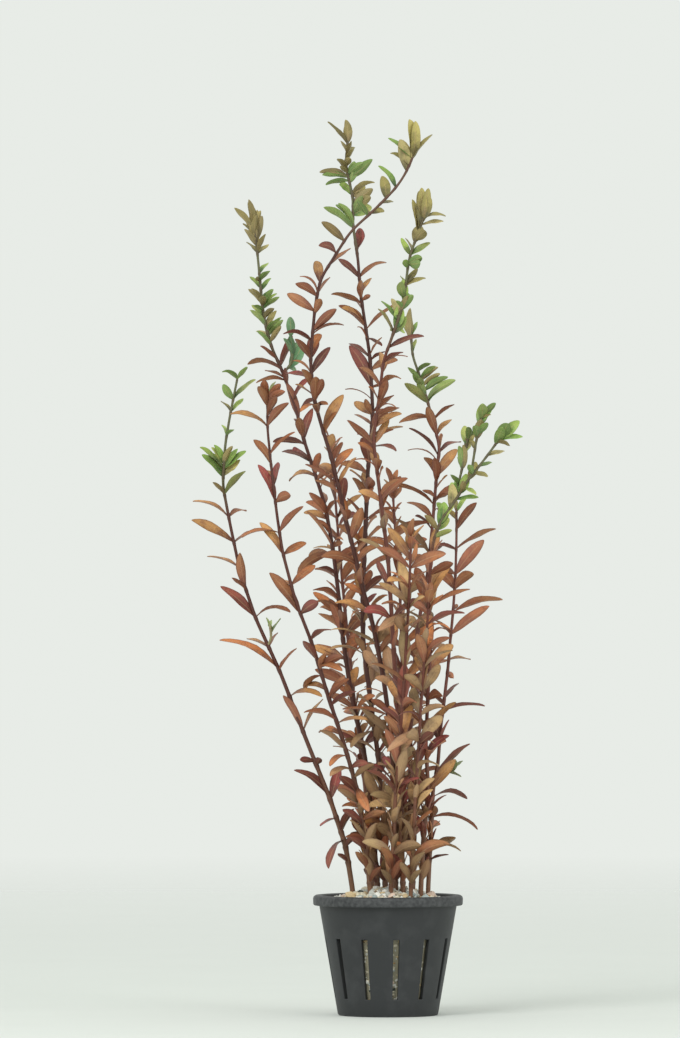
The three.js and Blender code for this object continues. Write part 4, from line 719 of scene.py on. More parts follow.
class Room:
    """What stands already, as balls along the stems and leaves, and the rule by which new leaves give way.

    Each of CHOICES is a turn in degrees and a size. FEELERS are the shares of a leaf's length that have a
    ball.
    """

    CHOICES = (
        *((turn, 1.0) for turn in (0, 14, -14, 28, -28, 42, -42)),
        *((turn, 0.62) for turn in (0, 24, -24)),
    )
    FEELERS = np.array([0.2, 0.4, 0.6, 0.8, 1.0])
    LAST_WIDE, LEAST_REACH = 0.93, 0.4
    STEM_STEP = 1.5
    LEAF_ROOM = 0.45
    OWN_ROOM = 0.6
    ROOT_SHARE = 0.35
    SAME_NODE = 1.5
    POT_RADIUS = 32.0
    GRAVEL_TOP = 52.0

    def __init__(self, lines: Sequence[Line]) -> None:
        """Puts balls up each line at even steps.

        Args:
            lines: The lines of all shoots.
        """
        self.centres = np.zeros((0, 3))
        self.radii = np.zeros(0)
        self.owners = np.zeros(0, int)
        self.heights = np.zeros(0)
        self.shares = np.zeros(0)
        for owner, line in enumerate(lines):
            heights = np.arange(line.points[0, 2], line.top, self.STEM_STEP)
            centres = np.array([line.at(z)[0] for z in heights])
            radii = line.radius(heights) + self.LEAF_ROOM / 2
            self._add(centres, radii, owner, math.nan, np.ones(len(heights)))

    def _add(self, centres: Array, radii: Array, owner: int, height: float, shares: Array) -> None:
        """Adds balls of one owner and node height.

        Args:
            centres: Where they are.
            radii: How large they are.
            owner: The number of the shoot.
            height: The height of the leaf's node, or not a number for a stem.
            shares: How far along the leaf each one is.
        """
        self.centres = np.concatenate([self.centres, centres])
        self.radii = np.concatenate([self.radii, radii])
        self.owners = np.concatenate([self.owners, np.full(len(radii), owner)])
        self.heights = np.concatenate([self.heights, np.full(len(radii), height)])
        self.shares = np.concatenate([self.shares, shares])

    def _feelers(self, leaf: Leaf) -> tuple[Array, Array]:
        """Gives the balls along a leaf, as wide as it is, as centres and radii."""
        half = leaf.half_width(np.minimum(self.FEELERS, self.LAST_WIDE))
        return leaf.midline(self.FEELERS), np.maximum(half, self.LEAST_REACH) + self.LEAF_ROOM / 2

    def _is_clear(self, leaf: Leaf, ease: float) -> bool:
        """Tells whether a leaf keeps off the pot and gravel, other shoots and other leaves of its own.

        Args:
            leaf: The leaf as it would stand.
            ease: The share of the usual room that it is content with.

        Returns:
            Whether nothing comes nearer than that, the stem and the roots at the leaf's own node aside.
        """
        centres, reach = self._feelers(leaf)
        level = np.hypot(centres[:, 0], centres[:, 1])
        if np.any((level < self.POT_RADIUS) & (centres[:, 2] < self.GRAVEL_TOP + reach)):
            return False
        own = self.owners == leaf.shoot
        same_node = np.abs(self.heights - leaf.z) < self.SAME_NODE
        near_root = (self.FEELERS[:, None] < self.ROOT_SHARE) | (self.shares < self.ROOT_SHARE)
        skipped = own & (np.isnan(self.heights) | (same_node & near_root))
        room = (reach[:, None] + self.radii) * np.where(own, self.OWN_ROOM, 1.0) * ease
        gap = np.linalg.norm(centres[:, None] - self.centres, axis=2)
        return not np.any((gap < room) & ~skipped)

    def settle(self, wanted: Sequence[Leaf], ease: float = 1.0) -> list[Leaf]:
        """Finds room for leaves. One that touches something turns aside, then grows shorter, then is shed.

        Args:
            wanted: The leaves in the order in which they choose.
            ease: The share of the usual room that they are content with.

        Returns:
            Those that found room, as they stand.
        """
        kept = []
        for leaf in wanted:
            tried = (leaf.turned(turn, size) for turn, size in self.CHOICES)
            found = next((one for one in tried if self._is_clear(one, ease)), None)
            if found is not None:
                self._add(*self._feelers(found), leaf.shoot, leaf.z, self.FEELERS)
                kept.append(found)
        return kept


@dataclass(frozen=True)
class Sprouting:
    """Makes the leaves of one shoot, before any gives way. The index is its place in the list of shoots."""

    FULL, STRETCH, SPARE = 0.95, 1.3, 2.5
    BROAD, SHORT, PLAIN_ARCH, SEEN_SLENDER = 2.6, 0.6, 18.0, 0.9
    PAIR_LENGTH, PAIR_WIDTH, PAIR_DROOP = 0.3, 0.25, 1.4
    PAIR_TURN, PAIR_RISE, LEAST_ROLL, MORE_ROLL = 22, 26, 12, 52
    CROWN_GAP, CROWN_STEP, CROWN_TURN, CROWN_SLENDER = 0.6, 2.6, 92, 0.38
    CROWN_RISE, CROWN_RISE_STEP, CROWN_DROOP, CROWN_ROLL = 72, 8, 16, 60
    NODE_TURN, LOW_STEP, HIGH_STEP = 97, 13, 7.5
    THREAD_LENGTH, THREAD_WIDTH, THREAD_DROOP = 10.5, 1.1, 46
    SMALL_LENGTH, SMALL_WIDEST, SMALL_DROOP = 8.5, 4.4, 16
    MORE_LENGTH, MORE_DROOP, SMALL_RISE, SMALL_ROLL = 6, 48, 20, 130
    FOOT_RISE, FREE_RISE, FOOT_DROOP = 80, 56, 0.45

    shoot: Shoot
    line: Line
    index: int

    @property
    def seed(self) -> int:
        """The number from which the shoot's chances come."""
        return self.index + 1

    def _usual(self, z: float) -> Habit:
        """Gives a leaf's usual sizes at a height.

        Args:
            z: The height.

        Returns:
            The habit there.
        """
        if z > self.shoot.green:
            return YOUNG
        return LOW.towards(HIGH, clamp01((z - LOWEST_NODE) / (HIGHEST_NODE - LOWEST_NODE)))

    def _leaf(self, z: float, turn: float, seed: float, **sizes: float) -> Leaf:
        """Puts a leaf on the stem at a height, headed by a turn.

        Args:
            z: The height.
            turn: Where it heads, in degrees.
            seed: Its own number.
            sizes: Its length, width, rise, droop and roll.

        Returns:
            The leaf.
        """
        root, growth = self.line.at(z)
        out = heading_at(growth, turn)
        return Leaf(root, growth, out, z, turn, shoot=self.index, seed=seed, **sizes)

    @staticmethod
    def _roll_showing(share: float, chord: Array, side: Array, face: Array) -> float:
        """Finds the roll at which a leaf shows a share of its width to the front, the lesser of the two.

        Rolled by r, its edge lies along side·cos r + face·sin r, of which a·cos r + b·sin r lies across the
        view of its chord. That is the share where r = atan2(b, a) ± acos(share/hypot(a, b)).

        Args:
            share: The share of its width to show.
            chord: The direction from its root to its tip.
            side: The direction of its edge before it is rolled.
            face: The direction that its upper side faces before it is rolled.

        Returns:
            The roll in degrees.
        """
        across = unit(np.array([-chord[2], 0.0, chord[0]]))
        a, b = side.dot(across), face.dot(across)
        most = math.atan2(b, a)
        aside = math.acos(min(1.0, share / math.hypot(a, b)))
        rolls = (most - aside, most + aside)
        nearest = (roll - math.pi * math.floor(roll / math.pi + 0.5) for roll in rolls)
        return math.degrees(min(nearest, key=abs))

    def _seen(self, row: Sequence[float], seed: float) -> Leaf:
        """Makes a listed leaf.

        What it lacks of its usual length points forward or back, and it is rolled to look as wide as listed.
        Its chord, as long as reach, rises by climb over the square to the stem. Along its arc it is
        reach·bend/sin(bend) long, where bend is half of its arch.

        Args:
            row: The height, how far across and up its tip is seen, its width as seen, and any unusual arch.
            seed: The leaf's own number, from which its chances come.

        Returns:
            The leaf.
        """
        z, across, up, seen, arch = [*row, self.PLAIN_ARCH][:5]
        usual = self._usual(z)
        _, growth = self.line.at(z)
        shown = math.hypot(across, up)
        reach = max(shown, min(self.FULL * usual.length, self.STRETCH * shown + self.SPARE))
        is_near = (shown < self.SHORT * usual.length and seen >= self.BROAD) or spread(seed) < 0.5
        away = math.sqrt(reach**2 - shown**2) * (-1 if is_near else 1)
        chord = np.array([across, away, up]) / reach
        climb = math.asin(chord.dot(growth))
        out = unit(chord - growth * math.sin(climb))
        bend = math.radians(arch) / 2
        length = reach * bend / math.sin(bend)
        width = min(WIDEST_LEAF, max(seen, self.SEEN_SLENDER * usual.slender * length))
        heading = out - growth * out[2] / growth[2]
        side = np.cross(out, growth)
        face = growth * math.cos(climb) - out * math.sin(climb)
        roll = self._roll_showing(seen / width, chord, side, face)
        turn = math.degrees(math.atan2(heading[1], heading[0]))
        rise = math.degrees(climb) + arch / 2
        return self._leaf(z, turn, seed, length=length, width=width, rise=rise, droop=arch, roll=roll)

    def _pair(self, z: float, turn: float, seed: float) -> Iterator[Leaf]:
        """Makes both leaves of a plain pair, whose sizes and angles each vary by chance.

        Args:
            z: The height of their node.
            turn: Where the first one heads, in degrees. The other one heads the opposite way.
            seed: The pair's own number.

        Returns:
            The two leaves.
        """
        usual = self._usual(z)
        for partner in (0, 1):
            a, b, c = (spread(seed * step + partner * 5) for step in (11, 37, 23))
            length = usual.length * (1 - self.PAIR_LENGTH * a * (partner + 0.25))
            yield self._leaf(
                z,
                turn + 180 * partner + (b - 0.5) * self.PAIR_TURN,
                seed + partner * 0.5,
                length=length,
                width=min(WIDEST_LEAF, length * usual.slender * (1 + (b - 0.5) * self.PAIR_WIDTH)),
                rise=usual.rise + (a - 0.5) * self.PAIR_RISE,
                droop=usual.droop * (1 + (c - 0.5) * self.PAIR_DROOP),
                roll=(-1 if c < 0.5 else 1) * (self.LEAST_ROLL + b * self.MORE_ROLL),
            )

    def _crown(self) -> Iterator[Leaf]:
        """Makes the steep small pairs that close a shoot's tip.

        Returns:
            The leaves, the lowest pair first.
        """
        pairs, length = self.shoot.crown
        for i in reversed(range(int(pairs))):
            for partner in (0, 1):
                a = spread(self.seed * 17 + i * 2 + partner)
                yield self._leaf(
                    self.line.top - self.CROWN_GAP - self.CROWN_STEP * i,
                    self.seed * 40 + self.CROWN_TURN * i + 180 * partner + a * 20,
                    self.seed * 13 + i * 2 + partner * 0.5,
                    length=length * (1.05 - 0.1 * i * a),
                    width=length * self.CROWN_SLENDER * (0.85 + 0.3 * a),
                    rise=self.CROWN_RISE - self.CROWN_RISE_STEP * i + 6 * a,
                    droop=self.CROWN_DROOP * (0.6 + a),
                    roll=(a - 0.5) * self.CROWN_ROLL,
                )

    def _nodes(self) -> Iterator[tuple[float, float]]:
        """Gives the heights and turns of a plain stem's nodes, which stand closer towards its tip.

        Returns:
            A height and a turn in degrees for each node, upwards.
        """
        if not self.shoot.every:
            return
        low, high, turn = self.shoot.every
        z, i = low, 0
        while z < high:
            yield z, turn + self.NODE_TURN * i
            z += blend(self.LOW_STEP, self.HIGH_STEP, clamp01((z - low) / (high - low)))
            i += 1

    def listed(self) -> list[Leaf]:
        """Makes the leaves that are listed one by one."""
        return [self._seen(row, self.seed * 101 + i * 3) for i, row in enumerate(self.shoot.seen)]

    def plain(self) -> list[Leaf]:
        """Makes the plain pairs and the crown.

        Returns:
            Their leaves.
        """
        pairs = [*self.shoot.pairs, *self._nodes()]
        leaves = [leaf for i, pair in enumerate(pairs) for leaf in self._pair(*pair, self.seed * 7 + i * 2)]
        return [*leaves, *self._crown()]

    def close_set(self, kept: Sequence[Leaf]) -> list[Leaf]:
        """Makes the leaves too close-set for the frame: listed ones that found no room, and the tuft.

        Args:
            kept: The leaves that found room.

        Returns:
            The leaves.
        """
        found = {leaf.seed for leaf in kept}
        shed = [leaf for leaf in self.listed() if leaf.seed not in found]
        tuft = [self._seen(row, self.seed * 211 + i * 3) for i, row in enumerate(self.shoot.tuft)]
        return shed + tuft

    def _small(self, z: float, i: int) -> Leaf:
        """Makes one small leaf between the nodes, or every fourth time a thin thread-like one.

        Low down it stands steep and straight. Up to twice the lowest node's height it comes to stand out
        and droop freely.

        Args:
            z: The height where it grows.
            i: Its place in the shoot's order.

        Returns:
            The leaf.
        """
        a, b, c = (spread(self.seed * step + i * 3.7) for step in (29, 41, 53))
        is_thread = i % 4 == 1
        free = clamp01((z - LOWEST_NODE) / LOWEST_NODE)
        length = (self.THREAD_LENGTH if is_thread else self.SMALL_LENGTH) + self.MORE_LENGTH * a
        broad = min(self.SMALL_WIDEST, length * (0.26 + 0.12 * b))
        droop = (self.THREAD_DROOP if is_thread else self.SMALL_DROOP) + self.MORE_DROOP * a
        return self._leaf(
            z,
            360 * spread(self.seed * 3 + i * 1.31),
            self.seed * 307 + i,
            length=length,
            width=self.THREAD_WIDTH if is_thread else broad,
            rise=blend(self.FOOT_RISE, self.FREE_RISE, free) + self.SMALL_RISE * (c - 0.5),
            droop=blend(self.FOOT_DROOP, 1.0, free) * droop,
            roll=self.SMALL_ROLL * (b - 0.5),
        )

    def between(self) -> list[Leaf]:
        """Makes the small old leaves that fill the gaps between the nodes."""
        heights = [z for low, high, step in self.shoot.filled for z in np.arange(low, high, step)]
        return [self._small(float(z), i) for i, z in enumerate(heights)]


@dataclass(frozen=True)
class Wire:
    """A node's output that takes part in sums: each operator adds one Math node."""

    graph: "Graph"
    socket: bpy.types.NodeSocket

    def _math(self, operation: str, *values: "Wire | float") -> "Wire":
        """Adds one Math node."""
        return self.graph.add("ShaderNodeMath", {"operation": operation}, dict(enumerate(values)))

    def __add__(self, other: "Wire | float") -> "Wire":
        """self + other."""
        return self._math("ADD", self, other)

    __radd__ = __add__

    def __sub__(self, other: "Wire | float") -> "Wire":
        """self - other."""
        return self._math("SUBTRACT", self, other)

    def __rsub__(self, other: float) -> "Wire":
        """other - self."""
        return self._math("SUBTRACT", other, self)

    def __mul__(self, other: "Wire | float") -> "Wire":
        """self·other."""
        return self._math("MULTIPLY", self, other)

    __rmul__ = __mul__

    def __pow__(self, other: float) -> "Wire":
        """self to a power."""
        return self._math("POWER", self, other)

    def __abs__(self) -> "Wire":
        """The size of self without its sign."""
        return self._math("ABSOLUTE", self)

    def sine(self) -> "Wire":
        """The sine of self."""
        return self._math("SINE", self)

    def step(self, start: float, end: float) -> "Wire":
        """Goes from 0 where self is start to 1 where it is end, in a straight line."""
        inputs = {"Value": self, "From Min": start, "From Max": end}
        return self.graph.add("ShaderNodeMapRange", {"clamp": True}, inputs)


class Graph:
    """The nodes of one material."""

    def __init__(self, name: str) -> None:
        """Starts an empty material.

        Args:
            name: The material's name.
        """
        self.material = bpy.data.materials.new(name)
        self.material.use_nodes = True
        self.tree = self.material.node_tree
        self.tree.nodes.clear()

    @staticmethod
    def _shown(sockets: bpy.types.bpy_prop_collection, name: str | None) -> bpy.types.NodeSocket:
        """Finds the first socket in use, of a name if one is given."""
        return next(s for s in sockets if s.enabled and name in (None, s.name))

    def add(
        self, kind: str, settings: dict | None = None, inputs: dict | None = None, out: str | None = None
    ) -> Wire:
        """Adds any node.

        Args:
            kind: The node's type.
            settings: Its own settings, set first.
            inputs: The values or wires of its inputs, by name or number.
            out: The output's name, if it isn't the first.

        Returns:
            The output as a wire.
        """
        node = self.tree.nodes.new(kind)
        for key, value in (settings or {}).items():
            setattr(node, key, value)
        for key, value in (inputs or {}).items():
            socket = node.inputs[key] if isinstance(key, int) else self._shown(node.inputs, key)
            if isinstance(value, Wire):
                self.tree.links.new(value.socket, socket)
            else:
                socket.default_value = (*value, 1.0) if isinstance(value, tuple) else value
        return Wire(self, self._shown(node.outputs, out))

    def place(self) -> Wire:
        """The point's own place on the object, in metres."""
        return self.add("ShaderNodeTexCoord", out="Object")

    def number(self, name: str) -> Wire:
        """A number that the mesh carries."""
        return self.add("ShaderNodeAttribute", {"attribute_name": name}, out="Fac")

    def colour(self, name: str) -> Wire:
        """A colour that the mesh carries."""
        return self.add("ShaderNodeAttribute", {"attribute_name": name}, out="Color")

    def noise(self, size: float, detail: float = 3.0) -> Wire:
        """Cloudy noise from 0 to 1 whose clouds are about a size in millimetres across."""
        inputs = {"Vector": self.place(), "Scale": 1 / (size * METRES), "Detail": detail, "Roughness": 0.55}
        return self.add("ShaderNodeTexNoise", inputs=inputs)

    def mix(self, first: Wire | Colour, second: Wire | Colour, share: Wire | float) -> Wire:
        """Mixes two colours by a share of the second."""
        inputs = {"Factor": share, "A": first, "B": second}
        return self.add("ShaderNodeMix", {"data_type": "RGBA"}, inputs, "Result")

    def shade(self, colour: Wire, share: Wire | float) -> Wire:
        """Makes a colour lighter or darker: colour·share."""
        inputs = {"Vector": colour, "Scale": share}
        return self.add("ShaderNodeVectorMath", {"operation": "SCALE"}, inputs)

    def bump(self, height: Wire, depth: float) -> Wire:
        """A normal for low relief: a height from 0 to 1 that stands for a depth in millimetres."""
        inputs = {"Height": height, "Distance": depth * METRES, "Strength": 1.0}
        return self.add("ShaderNodeBump", inputs=inputs)

    def surface(self, **values: Wire | float | Colour) -> bpy.types.Material:
        """Closes the material with a Principled shader whose inputs are given with _ for a space.

        Args:
            values: The shader's inputs.

        Returns:
            The material.
        """
        inputs = {key.replace("_", " "): value for key, value in values.items()}
        shader = self.add("ShaderNodeBsdfPrincipled", inputs=inputs)
        end = self.tree.nodes.new("ShaderNodeOutputMaterial")
        self.tree.links.new(shader.socket, end.inputs["Surface"])
        return self.material


@dataclass(frozen=True)
class LeafFinish:
    """A thin leaf: two clouded colours, a paler midrib, faint side veins, a darker margin and blotches. It
    has painted shade towards its root, and one half of the blade is painted lighter than the other, as if
    lit from one side.

    The sizes of clouds, flecks and blotches and the depth of the relief are in millimetres.
    """

    midrib: Colour = linear(204, 168, 124)
    decay: Colour = linear(84, 50, 41)
    veins: float = 9.0
    cloud: float = 3.4
    fleck: float = 0.7
    blotch: float = 1.7
    relief: float = 0.12

    def material(self) -> bpy.types.Material:
        """Makes the material, which reads the leaf's own colours and coordinates.

        Returns:
            The material.
        """
        graph = Graph("leaf")
        along, across, under, old = (graph.number(name) for name in ("along", "across", "below", "old"))
        clouds = graph.noise(self.cloud)
        fine = graph.noise(self.fleck, detail=2.0)
        outwards = along + 0.25 * abs(across) + 1.6 * (clouds - 0.5)
        face = graph.mix(graph.colour("inner"), graph.colour("outer"), outwards.step(0.2, 0.85))
        blade = graph.mix(face, graph.colour("under"), under.step(0.35, 0.65) * 0.6)
        # light: painted shade darkens the leaf towards its root, where it meets the stem, and painted light
        # makes one half of the blade lighter than the other; clouds and flecks vary the tone.
        light = 0.64 + 0.26 * along.step(0.0, 0.45) + 0.2 * clouds + 0.2 * fine + 0.12 * across
        side_veins = ((along * self.veins - abs(across) * 1.4) * (2 * math.pi)).sine() * 0.5 + 0.5
        veined = graph.mix(graph.shade(blade, light), graph.shade(blade, 1.3), side_veins**6.0 * 0.25)
        margin = abs(across) ** 4.0 * 0.62 + along.step(0.9, 1.0) * 0.3
        edged = graph.mix(veined, self.decay, margin * (0.3 + 0.7 * old))
        aged = graph.mix(edged, self.decay, graph.noise(self.blotch).step(0.60, 0.72) * 0.45 * old)
        rib = (1.0 - abs(across)).step(0.84, 0.98) * (1.0 - along.step(0.75, 1.0))
        ribbed = graph.mix(aged, self.midrib, rib * 0.26)
        relief = rib * 0.5 + side_veins * 0.12 + fine * 0.3
        return graph.surface(
            Base_Color=ribbed,
            Roughness=0.4 + 0.22 * clouds,
            Normal=graph.bump(relief, self.relief),
            Specular_IOR_Level=0.42,
        )


@dataclass(frozen=True)
class StalkFinish:
    """A soft round stem of its own colours, tan at the foot, streaked, and with darker rings at its nodes.

    The sizes of streaks and clouds and the depth of the relief are in millimetres.
    """

    foot: Colour = linear(128, 94, 69)
    ring: Colour = linear(80, 50, 42)
    streak: float = 1.1
    cloud: float = 7.0
    relief: float = 0.1

    def material(self) -> bpy.types.Material:
        """Makes the material, which reads the stem's own colours.

        Returns:
            The material.
        """
        graph = Graph("stalk")
        base = graph.mix(graph.colour("tint"), self.foot, graph.number("low"))
        streaks = graph.noise(self.streak, detail=4.0)
        clouds = graph.noise(self.cloud)
        shaded = graph.shade(base, 0.58 + 0.42 * streaks + 0.46 * clouds)
        ringed = graph.mix(shaded, self.ring, graph.number("node") * 0.5)
        return graph.surface(
            Base_Color=ringed,
            Roughness=0.42 + 0.2 * streaks,
            Normal=graph.bump(streaks, self.relief),
            Specular_IOR_Level=0.4,
        )


@dataclass(frozen=True)
class PotFinish:
    """Dark matt moulded plastic with a fine spark-eroded grain, a little dust, and a rim rubbed paler.

    The sizes of grain, clouds and rubbed spots and the depth of the relief are in millimetres.
    """

    plastic: Colour = (0.022, 0.024, 0.026)
    rubbed: Colour = (0.075, 0.078, 0.08)
    grain: float = 0.22
    cloud: float = 9.0
    spot: float = 1.4
    relief: float = 0.05

    def material(self) -> bpy.types.Material:
        """Makes the material.

        Returns:
            The material.
        """
        graph = Graph("pot_plastic")
        grain = graph.noise(self.grain, detail=1.0)
        clouds = graph.noise(self.cloud, detail=5.0)
        dust = clouds.step(0.5, 0.8) * 0.35 + grain.step(0.62, 0.8) * 0.08
        wear = graph.number("edge") * graph.noise(self.spot).step(0.35, 0.7)
        worn = graph.mix(graph.mix(self.plastic, self.rubbed, dust), self.rubbed, wear * 0.8)
        return graph.surface(
            Base_Color=worn,
            Roughness=0.46 + 0.2 * clouds,
            Normal=graph.bump(grain, self.relief),
            Specular_IOR_Level=0.45,
        )


@dataclass(frozen=True)
class GrainFinish:
    """Mineral grains: each its own colour, with cloudy veins, dark specks and a finely pitted face.

    The sizes of clouds and pits and the depth of the relief are in millimetres.
    """

    speck: Colour = linear(92, 86, 72)
    cloud: float = 1.6
    pit: float = 0.35
    relief: float = 0.22

    def material(self, name: str) -> bpy.types.Material:
        """Makes the material under a name.

        Args:
            name: The material's name.

        Returns:
            The material.
        """
        graph = Graph(name)
        clouds = graph.noise(self.cloud, detail=5.0)
        fine = graph.noise(self.pit)
        shaded = graph.shade(graph.colour("tint"), 0.72 + 0.42 * clouds + 0.14 * fine)
        specked = graph.mix(shaded, self.speck, fine.step(0.62, 0.74) * 0.45)
        return graph.surface(
            Base_Color=specked,
            Roughness=0.42 + 0.4 * clouds,
            Normal=graph.bump(clouds * 0.6 + fine * 0.5, self.relief),
            Specular_IOR_Level=0.5,
        )


@dataclass
class Surface:
    """A mesh in the making: points in millimetres, faces, and the numbers and colours of its points."""

    points: Array
    faces: list[Sequence[int]]
    numbers: dict[str, Array] = field(default_factory=dict)
    colours: dict[str, Array] = field(default_factory=dict)
    crease: float = 60.0

    def piece(self, name: str, node: str, slot: str, material: bpy.types.Material) -> bpy.types.Object:
        """Makes the object, which rides on the part's one body and stands for a CAD node.

        Args:
            name: The piece's name.
            node: The CAD node that it stands for.
            slot: The record's material slot; not used.
            material: What it is dressed in.

        Returns:
            The object.
        """
        made = self.object(name, material)
        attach(made, "root")
        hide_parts(node)
        LOG.info("%s: %d faces, stands for %s", name, len(self.faces), node)
        return made

    def object(self, name: str, material: bpy.types.Material) -> bpy.types.Object:
        """Makes the object, smooth but for folds sharper than the crease.

        Args:
            name: The object's name.
            material: What it is dressed in.

        Returns:
            The object, which stands in the scene.
        """
        mesh = bpy.data.meshes.new(name)
        mesh.from_pydata((self.points * METRES).tolist(), [], self.faces)
        for key, values in self.numbers.items():
            layer = mesh.attributes.new(key, "FLOAT", "POINT")
            layer.data.foreach_set("value", values.astype(np.float32).ravel())
        for key, values in self.colours.items():
            opaque = np.concatenate([values, np.ones((len(values), 1))], axis=1)
            layer = mesh.attributes.new(key, "FLOAT_COLOR", "POINT")
            layer.data.foreach_set("color", opaque.astype(np.float32).ravel())
        mesh.shade_smooth()
        mesh.set_sharp_from_angle(angle=math.radians(self.crease))
        mesh.materials.append(material)
        made = bpy.data.objects.new(name, mesh)
        bpy.context.scene.collection.objects.link(made)
        return made


def tube_faces(rings: int, around: int, copies: int = 1, inward_turn: bool = False) -> list[list[int]]:
    """Gives the faces of closed tubes, whose points are a first pole, the rings in order and a last pole.

    Args:
        rings: How many rings of points a tube has.
        around: How many points a ring has.
        copies: How many such tubes follow each other.
        inward_turn: Whether the rings run the other way round, so that faces have to be turned over.

    Returns:
        The faces, each a list of point numbers, all facing outwards.
    """
    ring, spot = np.meshgrid(np.arange(rings - 1), np.arange(around), indexing="ij")
    ahead = (spot + 1) % around
    here, beside = 1 + ring * around + spot, 1 + ring * around + ahead
    walls = np.stack([here, beside, beside + around, here + around], axis=-1).reshape(-1, 4)
    one = np.arange(around)
    two = (one + 1) % around
    last = 1 + rings * around
    start = np.stack([np.zeros_like(one), 1 + two, 1 + one], axis=1)
    end = np.stack([np.full_like(one, last), last - around + one, last - around + two], axis=1)
    faces = []
    for part in (walls, start, end):
        turned = part[:, ::-1] if inward_turn else part
        shifts = np.arange(copies)[:, None, None] * (last + 1)
        faces += (turned[None] + shifts).reshape(-1, part.shape[1]).tolist()
    return faces


def tube_points(first: Array, rings: Array, last: Array) -> Array:
    """Joins the poles and rings of tubes, whose points have n values each.

    Args:
        first: The first poles, an array of tubes by n.
        rings: The rings, an array of tubes by rings by points around by n.
        last: The last poles, like the first ones.

    Returns:
        A row of n for each point, in the order that tube_faces numbers them.
    """
    copies, width = rings.shape[0], rings.shape[-1]
    rows = [first[:, None], rings.reshape(copies, -1, width), last[:, None]]
    return np.concatenate(rows, axis=1).reshape(-1, width)


def carried(values: Array, rings: int, around: int) -> Array:
    """Repeats one value of each tube, a number or a colour, for all of its points."""
    return np.repeat(values, rings * around + 2, axis=0)


